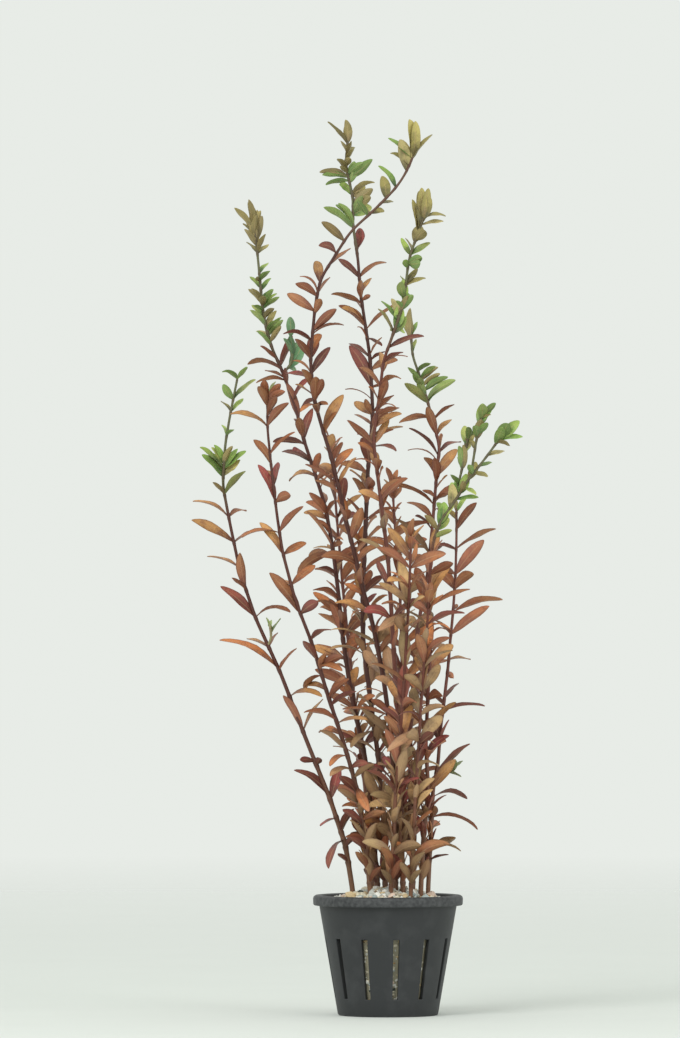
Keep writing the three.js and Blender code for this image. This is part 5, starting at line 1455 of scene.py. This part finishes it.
@dataclass
class Foliage:
    """The leaves of one shoot: thin closed blades, folded along the midrib, waved and slightly twisted."""

    along: tuple[float, ...] = (0.03, 0.11, 0.22, 0.34, 0.47, 0.6, 0.73, 0.85, 0.94, 0.985)
    around: int = 8
    thick: float = 0.24
    thin: float = 0.07
    petiole: float = 0.3
    fold: float = 0.28
    wave: float = 0.12
    bow: float = 0.11
    rib: float = 0.14
    twist: float = 26.0
    tip_length: float = 14.0

    def _ages(self, leaves: Sequence[Leaf], shoot: Shoot) -> Array:
        """Gives how young each leaf is.

        Args:
            leaves: The leaves.
            shoot: The shoot that they grow on.

        Returns:
            0 up to the flush, and above it 0.5 to 0.8 by chance and 0.1 more with each millimetre, up to 1.
        """
        height = np.array([leaf.z for leaf in leaves])
        chance = np.array([spread(leaf.seed * 3 + 1) for leaf in leaves])
        flush = shoot.flush or shoot.green
        return np.clip((height - flush) / 10 + 0.5 + 0.3 * chance, 0.0, 1.0) * (height > flush)

    @staticmethod
    def _outer(leaf: Leaf) -> float:
        """Tells from 0 (above 160 or within 10 of the middle) to 1 how low and far out a leaf grows."""
        return clamp01((160 - leaf.z) / 70) * clamp01(abs(leaf.root[0]) / 12 - 0.83)

    def _old_kind(self, leaf: Leaf) -> Growth:
        """Draws an old leaf's kind.

        A share 0.12 + 0.3·exp(-((z - 276)/42)²) + 0.75·outer is maroon, and a share 0.66·inner tan. Inner is
        1 below 140 within 8 of the middle, and falls to 0 at 220 and at 20 from the middle.

        Args:
            leaf: The leaf.

        Returns:
            Its kind.
        """
        chance = spread(leaf.seed * 13 + 2)
        inner = clamp01((220 - leaf.z) / 80) * clamp01(1.67 - abs(leaf.root[0]) / 12)
        if chance < 0.12 + 0.3 * math.exp(-(((leaf.z - 276) / 42) ** 2)) + 0.75 * self._outer(leaf):
            return Growth.MAROON
        return Growth.TAN if chance > 1 - 0.66 * inner else Growth.RUST

    def _young_kind(self, leaf: Leaf, shoot: Shoot, top: float) -> Growth:
        """Draws a young leaf's kind: the tip's own near the top, and below it the shoot's.

        Where the shoot's is olive or green, one leaf in four is of the other of these two.

        Args:
            leaf: The leaf.
            shoot: The shoot that it grows on.
            top: The height of the shoot's tip.

        Returns:
            Its kind.
        """
        if shoot.tip and leaf.z > top - self.tip_length:
            return shoot.tip
        other = {Growth.OLIVE: Growth.GREEN, Growth.GREEN: Growth.OLIVE}.get(shoot.growth, shoot.growth)
        return other if spread(leaf.seed * 11 + 6) > 0.75 else shoot.growth

    @staticmethod
    def _picked(colours: Sequence[Colour], pick: float) -> Array:
        """Takes one of some colours by a number from 0 to 1."""
        return np.array(colours[int(pick * len(colours))])

    def _tints(self, leaves: Sequence[Leaf], young: Array, shoot: Shoot, top: float) -> dict[str, Array]:
        """Draws each leaf's inner and outer colour and its underside's.

        Each leaf is lightened or darkened by chance. All are darker above 240 than below 130, young ones a
        little darker than old ones, and those low down on the outside darker than the rest.

        Args:
            leaves: The leaves.
            young: How young each one is.
            shoot: The shoot that they grow on.
            top: The height of its tip.

        Returns:
            Colours named inner, outer and under, a row for each leaf.
        """
        drawn = {"inner": [], "outer": [], "under": []}
        for leaf, age in zip(leaves, young):
            old = self._old_kind(leaf).value
            new = self._young_kind(leaf, shoot, top).value
            light = 0.78 + 0.44 * spread(leaf.seed * 5 + 2)
            light *= 1.12 - 0.26 * clamp01((leaf.z - 130) / 110)
            light *= 1 - 0.1 * age - 0.24 * self._outer(leaf)
            for key, step in (("inner", 7), ("outer", 19)):
                pick = spread(leaf.seed * step + 3)
                before, after = (self._picked(getattr(kind, key), pick) for kind in (old, new))
                drawn[key].append(blend(before, after, age) * light)
            drawn["under"].append(blend(np.array(old.under), np.array(new.under), age) * light)
        return {key: np.array(rows) for key, rows in drawn.items()}

    def surface(self, leaves: Sequence[Leaf], shoot: Shoot, top: float) -> Surface:
        """Lays out all blades at once.

        Round a section the angle p gives the place across, a = cos p, and above or below, s = sin p. At a
        share u of the length, a point lies half·a + bow·(c - 0.5)·length·4u(1 - u) off the midline along the
        edge direction, where each c is a chance of the leaf's own. Along the face direction it lies off by
        half·fold·|a|, plus half·wave·a²·sin(2pi(1.4u + c) + sign(a)), plus s times half of the thickness
        there, which goes from thick in the middle to thin at the margin and has the rib below. Both
        directions turn by the roll and by twist·(c - 0.5)·(u - 0.45) degrees. Half is
        width/2·sin(pi·u^late)^full, or the petiole's if that is more, where late is 1.2 for an old leaf and
        1.05 for a young one, and full is 0.62 and 0.58.

        Args:
            leaves: The leaves as they stand.
            shoot: The shoot that they grow on.
            top: The height of its tip.

        Returns:
            Their shared mesh. Its points carry the numbers along, across, below and old, and the colours
            inner, outer and under.
        """
        names = ("root", "growth", "out", "length", "width", "rise", "droop", "roll")
        root, growth, out, length, width, rise, droop, roll = (
            np.array([getattr(leaf, name) for leaf in leaves])[:, None] for name in names
        )
        chance = np.array([[spread(leaf.seed * k + 5) for k in (3, 5, 7)] for leaf in leaves])
        young = self._ages(leaves, shoot)

        u = np.concatenate([[0.0], self.along, [1.0]])[None]
        angle, outward, upward = arc(u, length, rise, droop)
        midline = root + outward[..., None] * out + upward[..., None] * growth

        twist = np.radians(roll + self.twist * (chance[:, :1] - 0.5) * (u - 0.45))[..., None]
        level = np.cross(out, growth)
        facing = growth * np.cos(angle)[..., None] - out * np.sin(angle)[..., None]
        side = level * np.cos(twist) + facing * np.sin(twist)
        face = facing * np.cos(twist) - level * np.sin(twist)

        late, full = blend(1.2, 1.05, young)[:, None], blend(0.62, 0.58, young)[:, None]
        blade = width / 2 * np.sin(np.pi * u**late) ** full
        half = np.maximum(blade, self.petiole * np.clip(1.6 - 5 * u, 0.0, 1.0))[:, 1:-1, None]
        bow = (self.bow * (chance[:, 2:] - 0.5) * length * 4 * u * (1 - u))[:, 1:-1, None]

        p = full_turn(self.around)
        a, s = np.cos(p)[None, None], np.sin(p)[None, None]
        phase = 2 * np.pi * (1.4 * u[:, 1:-1, None] + chance[:, 1:2, None])
        wave = self.wave * a**2 * np.sin(phase + np.sign(a))
        depth = blend(self.thin, self.thick, 1 - np.abs(a)) / 2
        rib = self.rib * np.exp(-((a / 0.3) ** 2)) * (s < 0)
        lift = half * (self.fold * np.abs(a) + wave) + s * (depth + rib)
        aside = side[:, 1:-1, None] * (half * a + bow)[..., None]
        rings = midline[:, 1:-1, None] + aside + face[:, 1:-1, None] * lift[..., None]

        count, steps = len(leaves), len(self.along)
        shape = (count, steps, self.around, 1)
        along = np.broadcast_to(np.array(self.along)[:, None, None], shape)
        across = np.broadcast_to(a[..., None], shape)
        below = np.broadcast_to((0.5 - 0.5 * np.sign(np.round(s, 6)))[..., None], shape)
        poles = np.zeros((count, 1))
        tints = self._tints(leaves, young, shoot, top)
        return Surface(
            tube_points(midline[:, 0], rings, midline[:, -1]),
            tube_faces(steps, self.around, count, inward_turn=True),
            numbers={
                "along": tube_points(poles, along, poles + 1),
                "across": tube_points(poles, across, poles),
                "below": tube_points(poles + 0.5, below, poles + 0.5),
                "old": carried(1 - young, steps, self.around),
            },
            colours={key: carried(rows, steps, self.around) for key, rows in tints.items()},
        )


@dataclass
class Stalk:
    """One round stem: it thins upwards, swells at its nodes and has four faint ridges."""

    around: int = 12
    ease: int = 5
    slim: float = 0.72
    slim_foot: float = 0.08
    swell: float = 0.26
    node_reach: float = 0.8
    ridge: float = 0.04
    tip_reach: float = 1.5

    def _eased(self, line: Line, start: Array | None) -> Array:
        """Samples the line at each millimetre of height and rounds its corners with a bell-shaped mean.

        Args:
            line: The stem's line.
            start: A side shoot's start inside its parent.

        Returns:
            The points, rows of [x, y, z].
        """
        points = line.points if start is None else np.vstack([start, line.points])
        z = np.linspace(points[0, 2], points[-1, 2], max(8, int(points[-1, 2] - points[0, 2])))
        width = min(self.ease, len(z) // 3)
        bell = np.hanning(2 * width + 3)[1:-1]
        columns = []
        for k in (0, 1):
            column = np.interp(z, points[:, 2], points[:, k])
            padded = np.pad(column, width, mode="reflect", reflect_type="odd")
            columns.append(np.convolve(padded, bell / bell.sum(), mode="valid"))
        return np.stack([*columns, z], axis=1)

    def surface(self, line: Line, nodes: Array, shoot: Shoot, start: Array | None) -> Surface:
        """Carries a round section up the line.

        The radius is the line's, times slim, or slim + slim_foot at the foot, times
        1 + swell·exp(-((z - node)/node_reach)²) + ridge·cos 4t at the angle t. It closes in at the tip.

        Args:
            line: The stem's line.
            nodes: The heights of its nodes.
            shoot: The shoot.
            start: A side shoot's start inside its parent.

        Returns:
            The stem's mesh. Its points carry the numbers node and low and the colour tint.
        """
        path = self._eased(line, start)
        z = path[:, 2]
        growth = unit(np.gradient(path, axis=0))
        level = np.broadcast_to(np.array([1.0, 0.0, 0.0]), growth.shape)
        ahead = unit(level - growth * (level * growth).sum(1, keepdims=True))
        aside = np.cross(growth, ahead)
        node = np.exp(-(((z[:, None] - nodes) / self.node_reach) ** 2)).max(axis=1)
        tip = np.sqrt(np.clip((z[-1] - z) / self.tip_reach, 0.05, 1.0))
        t = full_turn(self.around)
        share = self.slim + self.slim_foot * np.clip((110 - z) / 50, 0.0, 1.0)
        relief = 1 + self.swell * node[:, None] + self.ridge * np.cos(4 * t)
        radius = (line.radius(z) * share * tip)[:, None] * relief
        rings = path[:, None] + radius[..., None] * (
            ahead[:, None] * np.cos(t)[:, None] + aside[:, None] * np.sin(t)[:, None]
        )
        young = np.clip((z - (shoot.flush or shoot.green)) / 16 + 0.4, 0.0, 1.0)
        bark = np.array(Growth.RUST.value.stalk) * shoot.bark
        tint = blend(bark, np.array(shoot.growth.value.stalk), young[:, None])
        low = 0.75 * np.clip((120 - z) / 60, 0.0, 1.0)

        def spun(values: Array) -> Array:
            """Gives each ring's value to all of its points and to the poles.

            Args:
                values: A number or a colour for each ring.

            Returns:
                A row for each of the stem's points.
            """
            rows = values.reshape(len(z), -1)
            wide = np.repeat(rows[None, :, None], self.around, axis=2)
            return tube_points(rows[None, 0], wide, rows[None, -1])

        return Surface(
            tube_points(path[None, 0], rings[None], path[None, -1]),
            tube_faces(len(z), self.around),
            numbers={"node": spun(node), "low": spun(low)},
            colours={"tint": spun(tint)},
        )


class Bunch:
    """The whole bunch: every shoot's line and the leaves that found room on it."""

    CLOSE_SET_EASE, SMALL_EASE = 0.1, 0.5

    def __init__(self, shoots: Sequence[Shoot]) -> None:
        """Lays out all lines, then all listed, plain, close-set and small leaves, in this order.

        Args:
            shoots: The stems and side shoots, each side shoot after its parent.
        """
        self.shoots = shoots
        self.lines: dict[str, Line] = {}
        for shoot in shoots:
            self.lines[shoot.name] = line_of(shoot, self.lines)
        room = Room(list(self.lines.values()))
        grown = [Sprouting(shoot, self.lines[shoot.name], i) for i, shoot in enumerate(shoots)]
        listed = [room.settle(sprouting.listed()) for sprouting in grown]
        self.leaves = [kept + room.settle(sprouting.plain()) for kept, sprouting in zip(listed, grown)]
        LOG.info("%d leaves stand as in the frame", sum(map(len, self.leaves)))
        for kept, sprouting in zip(self.leaves, grown):
            kept += room.settle(sprouting.close_set(kept), self.CLOSE_SET_EASE)
        self.nodes = [np.array(sorted({leaf.z for leaf in kept})) for kept in self.leaves]
        for kept, sprouting in zip(self.leaves, grown):
            kept += room.settle(sprouting.between(), self.SMALL_EASE)
        LOG.info("%d leaves in all", sum(map(len, self.leaves)))

    def dress(self) -> None:
        """Makes a stalk and a set of leaves for each shoot."""
        leaf_finish, stalk_finish = LeafFinish().material(), StalkFinish().material()
        slots = {part["node"]: part["material_slot"] for part in frame["record"]["subparts"]}
        for shoot, leaves, nodes in zip(self.shoots, self.leaves, self.nodes):
            line = self.lines[shoot.name]
            start = self.lines[shoot.parent].at(shoot.at)[0] if shoot.parent else None
            slot = slots[shoot.name]
            stalk = Stalk().surface(line, nodes, shoot, start)
            stalk.piece(f"{shoot.name}_stalk", shoot.name, slot, stalk_finish)
            foliage = Foliage().surface(leaves, shoot, line.top)
            foliage.piece(f"{shoot.name}_leaves", shoot.name, slot, leaf_finish)

    def feet(self, z: float) -> Array:
        """Gives where the stems pass a height in the gravel."""
        return np.array([self.lines[shoot.name].at(z)[0] for shoot in self.shoots if shoot.path])


@dataclass
class Pot:
    """The pot: a tapered cup with a turned-down rim, a flat floor and narrow slots round its lower wall.

    Each slot reaches from the ring OUT_LOW up to OUT_HIGH outside, and from IN_LOW up to IN_HIGH inside.
    Rings are the profile's points without both ends. WORN are the points at the foot's corner and round the
    rim.
    """

    OUT_LOW, OUT_HIGH, IN_HIGH, IN_LOW = 4, 5, 15, 16
    WORN = (3, 8, 9, 10, 11, 12, 13)

    height: float = 48.0
    rim: float = 30.0
    top: float = 27.6
    top_height: float = 44.5
    foot: float = 20.0
    wall: float = 1.6
    floor: float = 2.0
    slots: int = 12
    rounding: float = 0.22
    slot_half: float = 2.85
    slot_low: float = 7.0
    slot_high: float = 31.0
    columns: int = 9

    def outside(self, z: float) -> float:
        """Gives the wall's outer radius at a height, a straight taper from foot to top."""
        return blend(self.foot, self.top, z / self.top_height)

    def inside(self, z: float) -> float:
        """Gives the wall's inner radius at a height."""
        share = (z - self.floor) / (self.height - 1 - self.floor)
        return self.foot - self.wall + (self.top - self.foot) * share

    def profile(self) -> Array:
        """Gives the section's [radius, height] from the underside out, up, over the rim and down inside.

        Returns:
            A row for each point.
        """
        out, inner = self.outside, self.inside
        return np.array([
            [0, 0], [12, 0], [19.2, 0], [19.8, 0.15], [out(0.8), 0.8],
            [out(self.slot_low), self.slot_low], [out(self.slot_high), self.slot_high],
            [out(44), 43.9], [self.rim - 0.5, 44], [self.rim - 0.1, 44.3], [self.rim, 46.6],
            [self.rim - 0.25, 47.5], [self.rim - 1, 48], [inner(48) + 0.6, 48], [inner(47.5) + 0.1, 47.6],
            [inner(46.5), 46.5], [inner(self.slot_high), self.slot_high],
            [inner(self.slot_low), self.slot_low], [inner(2.6), 2.6], [inner(2) - 0.6, 2], [10, 2], [0, 2],
        ])

    def _angles(self) -> Array:
        """Gives the angles of all columns of points, with three columns to each slot.

        Returns:
            The angles in radians.
        """
        step = 360 / self.slots
        solid = np.linspace(self.slot_half, step - self.slot_half, self.columns - 1)[:-1]
        sector = np.concatenate([[-self.slot_half, 0], solid])
        return np.radians((np.arange(self.slots)[:, None] * step + step / 4 + sector).ravel())

    def surface(self) -> Surface:
        """Turns the profile round, leaves the slots out of both walls and closes each slot's four sides.

        Returns:
            The pot's mesh. Its points carry the number edge.
        """
        profile, angles = self.profile(), self._angles()
        around = len(angles)
        radii, heights = profile[1:-1, 0, None], profile[1:-1, 1, None]
        ends = [np.array([[0.0, 0.0, profile[i, 1]]]) for i in (0, -1)]
        points = tube_points(ends[0], round_axis(radii, angles, heights)[None], ends[1])
        starts = range(0, around, around // self.slots)
        columns = [first + k for first in starts for k in (0, 1)]
        is_slot = {(row, column) for row in (self.OUT_LOW, self.IN_HIGH) for column in columns}
        walls = (len(profile) - 3) * around
        faces = tube_faces(len(profile) - 2, around)
        kept = [f for i, f in enumerate(faces) if i >= walls or divmod(i, around) not in is_slot]

        def at(row: int, column: int) -> int:
            """Gives a point's number by its ring and column."""
            return 1 + row * around + column % around

        out_low, out_high, in_high, in_low = self.OUT_LOW, self.OUT_HIGH, self.IN_HIGH, self.IN_LOW
        for c in columns:
            kept.append([at(out_low, c), at(out_low, c + 1), at(in_low, c + 1), at(in_low, c)])
            kept.append([at(out_high, c + 1), at(out_high, c), at(in_high, c), at(in_high, c + 1)])
        for first in starts:
            kept.append([at(row, first) for row in (out_low, in_low, in_high, out_high)])
            kept.append([at(row, first + 2) for row in (out_low, out_high, in_high, in_low)])
        edge = np.isin(np.arange(len(profile)), self.WORN).astype(float)
        around_edge = np.repeat(edge[1:-1][None, :, None, None], around, axis=2)
        pole = np.zeros((1, 1))
        return Surface(points, kept, {"edge": tube_points(pole, around_edge, pole)}, crease=40.0)

    def dress(self) -> None:
        """Makes the pot and rounds its sharp edges."""
        made = self.surface().piece("pot_cup", "pot", "pot_plastic", PotFinish().material())
        bevel = made.modifiers.new("rounded edges", "BEVEL")
        bevel.width = self.rounding * METRES
        bevel.segments = 2
        bevel.limit_method = "ANGLE"
        bevel.angle_limit = math.radians(35)


@dataclass
class Gravel:
    """The gravel in the pot: a filling that mounds over the rim, with grains on top and at the slots."""

    pot: Pot
    edge: float = 44.5
    crown: float = GRAVEL_CROWN
    sunk: float = 1.0
    gap: float = 0.5
    low: float = 2.4
    bed_around: int = 72
    grains: int = 760
    least: float = 0.75
    more: float = 1.15
    large: float = 1.55
    large_share: float = 0.045
    stem_room: float = 1.15
    slot_grains: int = 30
    shapes: tuple[int, int] = (4, 7)
    seed: int = 7
    # dust: a colour darker than the grains for the filling, painted shade for the gaps between the grains.
    dust: Colour = linear(150, 144, 122)
    minerals: tuple[tuple[float, Colour], ...] = (
        (0.27, linear(234, 233, 224)), (0.22, linear(216, 208, 184)), (0.16, linear(188, 190, 182)),
        (0.09, linear(168, 180, 178)), (0.12, linear(200, 178, 138)), (0.03, linear(192, 146, 92)),
        (0.05, linear(62, 70, 62)), (0.03, linear(118, 94, 68)), (0.03, linear(208, 186, 168)),
    )

    def height(self, level: Array) -> Array:
        """Gives the height at a distance from the middle: crown - (crown - edge)·(level/edge radius)²."""
        return self.crown - (self.crown - self.edge) * (level / self.pot.inside(self.edge)) ** 2

    def _bed(self) -> Surface:
        """Turns the filling's section round, its top a little under the grains and with shallow dents.

        Returns:
            The filling's mesh. Its points carry the colour tint.
        """
        rim = self.pot.inside(self.edge) - self.gap
        side = [[self.pot.inside(z) - self.gap, z] for z in np.linspace(self.low, self.edge - 1.2, 9)]
        levels = np.linspace(rim - 0.4, 1.5, 15)
        mound = np.stack([levels, self.height(levels) - self.sunk], axis=1)
        profile = np.array([[10, self.low], *side, *mound])
        rings = round_axis(profile[:, :1], full_turn(self.bed_around), profile[:, 1:])
        x, y, z = np.moveaxis(rings, -1, 0)
        rings[..., 2] += 0.25 * (np.sin(1.9 * x + 0.7 * y) * np.sin(1.3 * y - 0.5 * x)) * (z > self.edge - 1)
        first, last = (np.array([[0, 0, z]]) for z in (self.low, self.crown - self.sunk))
        points = tube_points(first, rings[None], last)
        # The whole filling takes the darker colour, painted shade for the gaps between the grains.
        tint = np.tile(np.array(self.dust), (len(points), 1))
        return Surface(points, tube_faces(len(profile), self.bed_around), colours={"tint": tint})

    @staticmethod
    def _sunflower(i: Array) -> Array:
        """Gives the angles of numbered seeds in a sunflower, each a golden angle on from the last."""
        return i * np.pi * (3 - math.sqrt(5))

    def _top(self, rng: np.random.Generator, feet: Array) -> tuple[Array, Array]:
        """Scatters grains over the top in sunflower order, clear of the stems.

        Args:
            rng: The source of chance.
            feet: Where the stems pass through the gravel's top.

        Returns:
            Their centres and radii.
        """
        i = np.arange(self.grains)
        sizes = self.least + self.more * rng.random(self.grains) ** 1.8
        sizes[rng.random(self.grains) < self.large_share] *= self.large
        level = np.sqrt((i + 0.5) / self.grains) * (self.pot.inside(self.edge) - 1.2)
        angle = self._sunflower(i) + rng.normal(0, 0.02, self.grains)
        level = np.minimum(level, self.pot.inside(self.edge) - 0.55 - sizes)
        height = self.height(level) - 0.75 + rng.normal(0, 0.32, self.grains)
        centres = round_axis(level, angle, height)
        room = np.linalg.norm(centres[:, None, :2] - feet[:, :2], axis=2).min(axis=1)
        clear = room > self.stem_room + 0.75 * sizes
        return centres[clear], sizes[clear]

    def _pebbles(self) -> tuple[Array, Array]:
        """Gives the larger pebbles of the frame's own gravel, in the same places.

        Returns:
            Their centres and radii.
        """
        count, least, most = 20, 1.7, 3.2
        i = np.arange(count)
        edge = self.pot.inside(self.edge) - 0.35
        level = np.sqrt((i + 0.5) / count) * (edge - most * 1.2)
        angle = self._sunflower(i)
        sizes = np.array([blend(least, most, spread(k * 3 + 1)) for k in i])
        height = self.height(level) - 0.1 * sizes
        return round_axis(level, angle, height), sizes * 0.8

    def _behind_slots(self, rng: np.random.Generator) -> tuple[Array, Array]:
        """Stacks grains behind each slot, just inside the wall.

        Args:
            rng: The source of chance.

        Returns:
            Their centres and radii.
        """
        count = self.pot.slots * self.slot_grains
        sizes = 0.8 + 0.7 * rng.random(count)
        slot = np.repeat(np.arange(self.pot.slots), self.slot_grains)
        heights = np.linspace(self.pot.slot_low - 0.8, self.pot.slot_high + 0.8, self.slot_grains)
        z = np.tile(heights, self.pot.slots) + rng.normal(0, 0.3, count)
        level = self.pot.inside(z) - 0.25 - sizes
        angle = np.radians(360 / self.pot.slots * (slot + 0.25) + rng.uniform(-3.6, 3.6, count))
        return round_axis(level, angle, z), sizes

    def _grain_surface(self, centres: Array, sizes: Array, rng: np.random.Generator) -> Surface:
        """Makes small rounded-off lumps: unit balls squashed, dented and turned at random, each one colour.

        A ball's points lie at sin q from its axis and cos q up, for polar angles q from 0 to pi. Each is
        scaled by the grain's size, by three squashes and by a dent of its own, then turned at random.

        Args:
            centres: Where the grains lie.
            sizes: Their radii.
            rng: The source of chance.

        Returns:
            Their shared mesh. Its points carry the colour tint.
        """
        rings, around = self.shapes
        q = np.pi * (np.arange(rings) + 1)[:, None] / (rings + 1)
        ball = round_axis(np.sin(q), full_turn(around), np.cos(q))
        poles = np.array([[[0.0, 0.0, -1.0]], [[0.0, 0.0, 1.0]]])
        count = len(sizes)
        base = tube_points(poles[0], ball[None, ::-1], poles[1])
        dents = 1 + rng.normal(0, 0.11, (count, len(base), 1))
        squash = rng.uniform([0.85, 0.8, 0.62], [1.25, 1.05, 0.95], (count, 3))[:, None]
        local = base[None] * dents * squash * sizes[:, None, None]
        axes = np.linalg.qr(rng.normal(size=(count, 3, 3)))[0]
        axes[:, :, 0] *= np.sign(np.linalg.det(axes))[:, None]
        points = (np.einsum("nij,npj->npi", axes, local) + centres[:, None]).reshape(-1, 3)
        weights = np.array([weight for weight, _ in self.minerals])
        kinds = rng.choice(len(weights), count, p=weights / weights.sum())
        tint = np.array([colour for _, colour in self.minerals])[kinds]
        tint = tint * rng.uniform(0.86, 1.06, (count, 1))
        colours = {"tint": carried(tint, rings, around)}
        return Surface(points, tube_faces(rings, around, count), colours=colours, crease=48.0)

    def dress(self, feet: Array) -> None:
        """Makes the filling and its grains.

        Args:
            feet: Where the stems pass through the gravel's top.
        """
        rng = np.random.default_rng(self.seed)
        self._bed().piece("gravel_bed", "gravel", "gravel", GrainFinish().material("gravel_filling"))
        places = [self._top(rng, feet), self._pebbles(), self._behind_slots(rng)]
        centres, sizes = (np.concatenate(parts) for parts in zip(*places))
        grains = self._grain_surface(centres, sizes, rng)
        grains.piece("gravel_grains", "gravel", "gravel", GrainFinish().material("gravel_grain"))


@dataclass
class Studio:
    """A plain pale floor under soft light, and the camera at the photograph's place."""

    pale: Colour = (0.66, 0.69, 0.655)
    paler: Colour = (0.69, 0.72, 0.685)
    sky: Colour = (0.806, 0.838, 0.798)
    eye: tuple[float, float, float] = (-0.0192, -4.0, 0.1984)
    lens: float = 346.83
    middle: tuple[float, float, float] = (0.0, 0.0, 0.17)
    floor_radii: tuple[float, ...] = (400.0, 1200.0, 2400.0)
    floor_around: int = 96

    def _floor(self) -> None:
        """Lays a round floor at the height of the pot's underside, which fades out before its edge."""
        radii = np.array(self.floor_radii)[:, None]
        rings = round_axis(radii, full_turn(self.floor_around), 0 * radii)
        points = np.concatenate([[[0.0, 0.0, 0.0]], rings.reshape(-1, 3)])
        faces = [f for f in tube_faces(len(radii), self.floor_around) if max(f) < len(points)]
        graph = Graph("floor")
        place = {"Vector": graph.place()}
        away = graph.add("ShaderNodeVectorMath", {"operation": "LENGTH"}, place, "Value")
        material = graph.surface(
            Base_Color=graph.mix(self.pale, self.paler, graph.noise(60.0, detail=2.0)),
            Alpha=1.0 - away.step(0.15, 1.9),
            Roughness=0.85,
        )
        Surface(points, [f[::-1] for f in faces]).object("floor", material)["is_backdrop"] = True

    def _light(self, name: str, place: tuple[float, float, float], size: float, power: float) -> None:
        """Hangs a square soft light that looks at the middle of the plant.

        Args:
            name: Its name.
            place: Where it hangs, in metres.
            size: The length of its sides, in metres.
            power: Its power in watts.
        """
        data = bpy.data.lights.new(name, "AREA")
        data.size = size
        data.energy = power
        lamp = bpy.data.objects.new(name, data)
        back = np.array(place) - np.array(self.middle)
        tilt = math.acos(back[2] / np.linalg.norm(back))
        lamp.location = place
        lamp.rotation_euler = (tilt, 0.0, math.atan2(back[1], back[0]) + math.pi / 2)
        lamp.visible_camera = False
        bpy.context.scene.collection.objects.link(lamp)

    def build(self) -> None:
        """Makes the world, the lights, the floor and the camera."""
        scene = bpy.context.scene
        world = bpy.data.worlds.new("studio")
        world.use_nodes = True
        background = world.node_tree.nodes["Background"]
        background.inputs["Color"].default_value = (*self.sky, 1.0)
        background.inputs["Strength"].default_value = 1.0
        scene.world = world
        scene.view_settings.view_transform = "Standard"
        self._floor()
        self._light("key", (-0.9, -1.5, 1.5), 0.9, 22.0)
        self._light("fill", (1.3, -1.2, 0.7), 1.2, 8.0)
        data = bpy.data.cameras.new("camera")
        data.lens = self.lens
        data.sensor_width = 36.0
        camera = bpy.data.objects.new("camera", data)
        camera.location = self.eye
        camera.rotation_euler = (math.radians(90), 0.0, 0.0)
        scene.collection.objects.link(camera)
        scene.camera = camera


def write_sizes() -> None:
    """Writes the CAD model's box and the visual model's box, in metres."""
    boxes = {"cad": CAD_BOX, "visual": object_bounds()}
    plain = {name: [list(corner) for corner in box] for name, box in boxes.items()}
    LOG.info("boxes: %s", plain)


def main() -> None:
    """Builds the studio, the plant, the pot and the gravel in order."""
    logging.basicConfig(level=logging.INFO, format="%(message)s")
    Studio().build()
    bunch = Bunch([*STEMS, *SIDE_SHOOTS])
    bunch.dress()
    pot = Pot()
    pot.dress()
    Gravel(pot).dress(bunch.feet(pot.height))
    write_sizes()


if __name__ == "__main__":
    main()
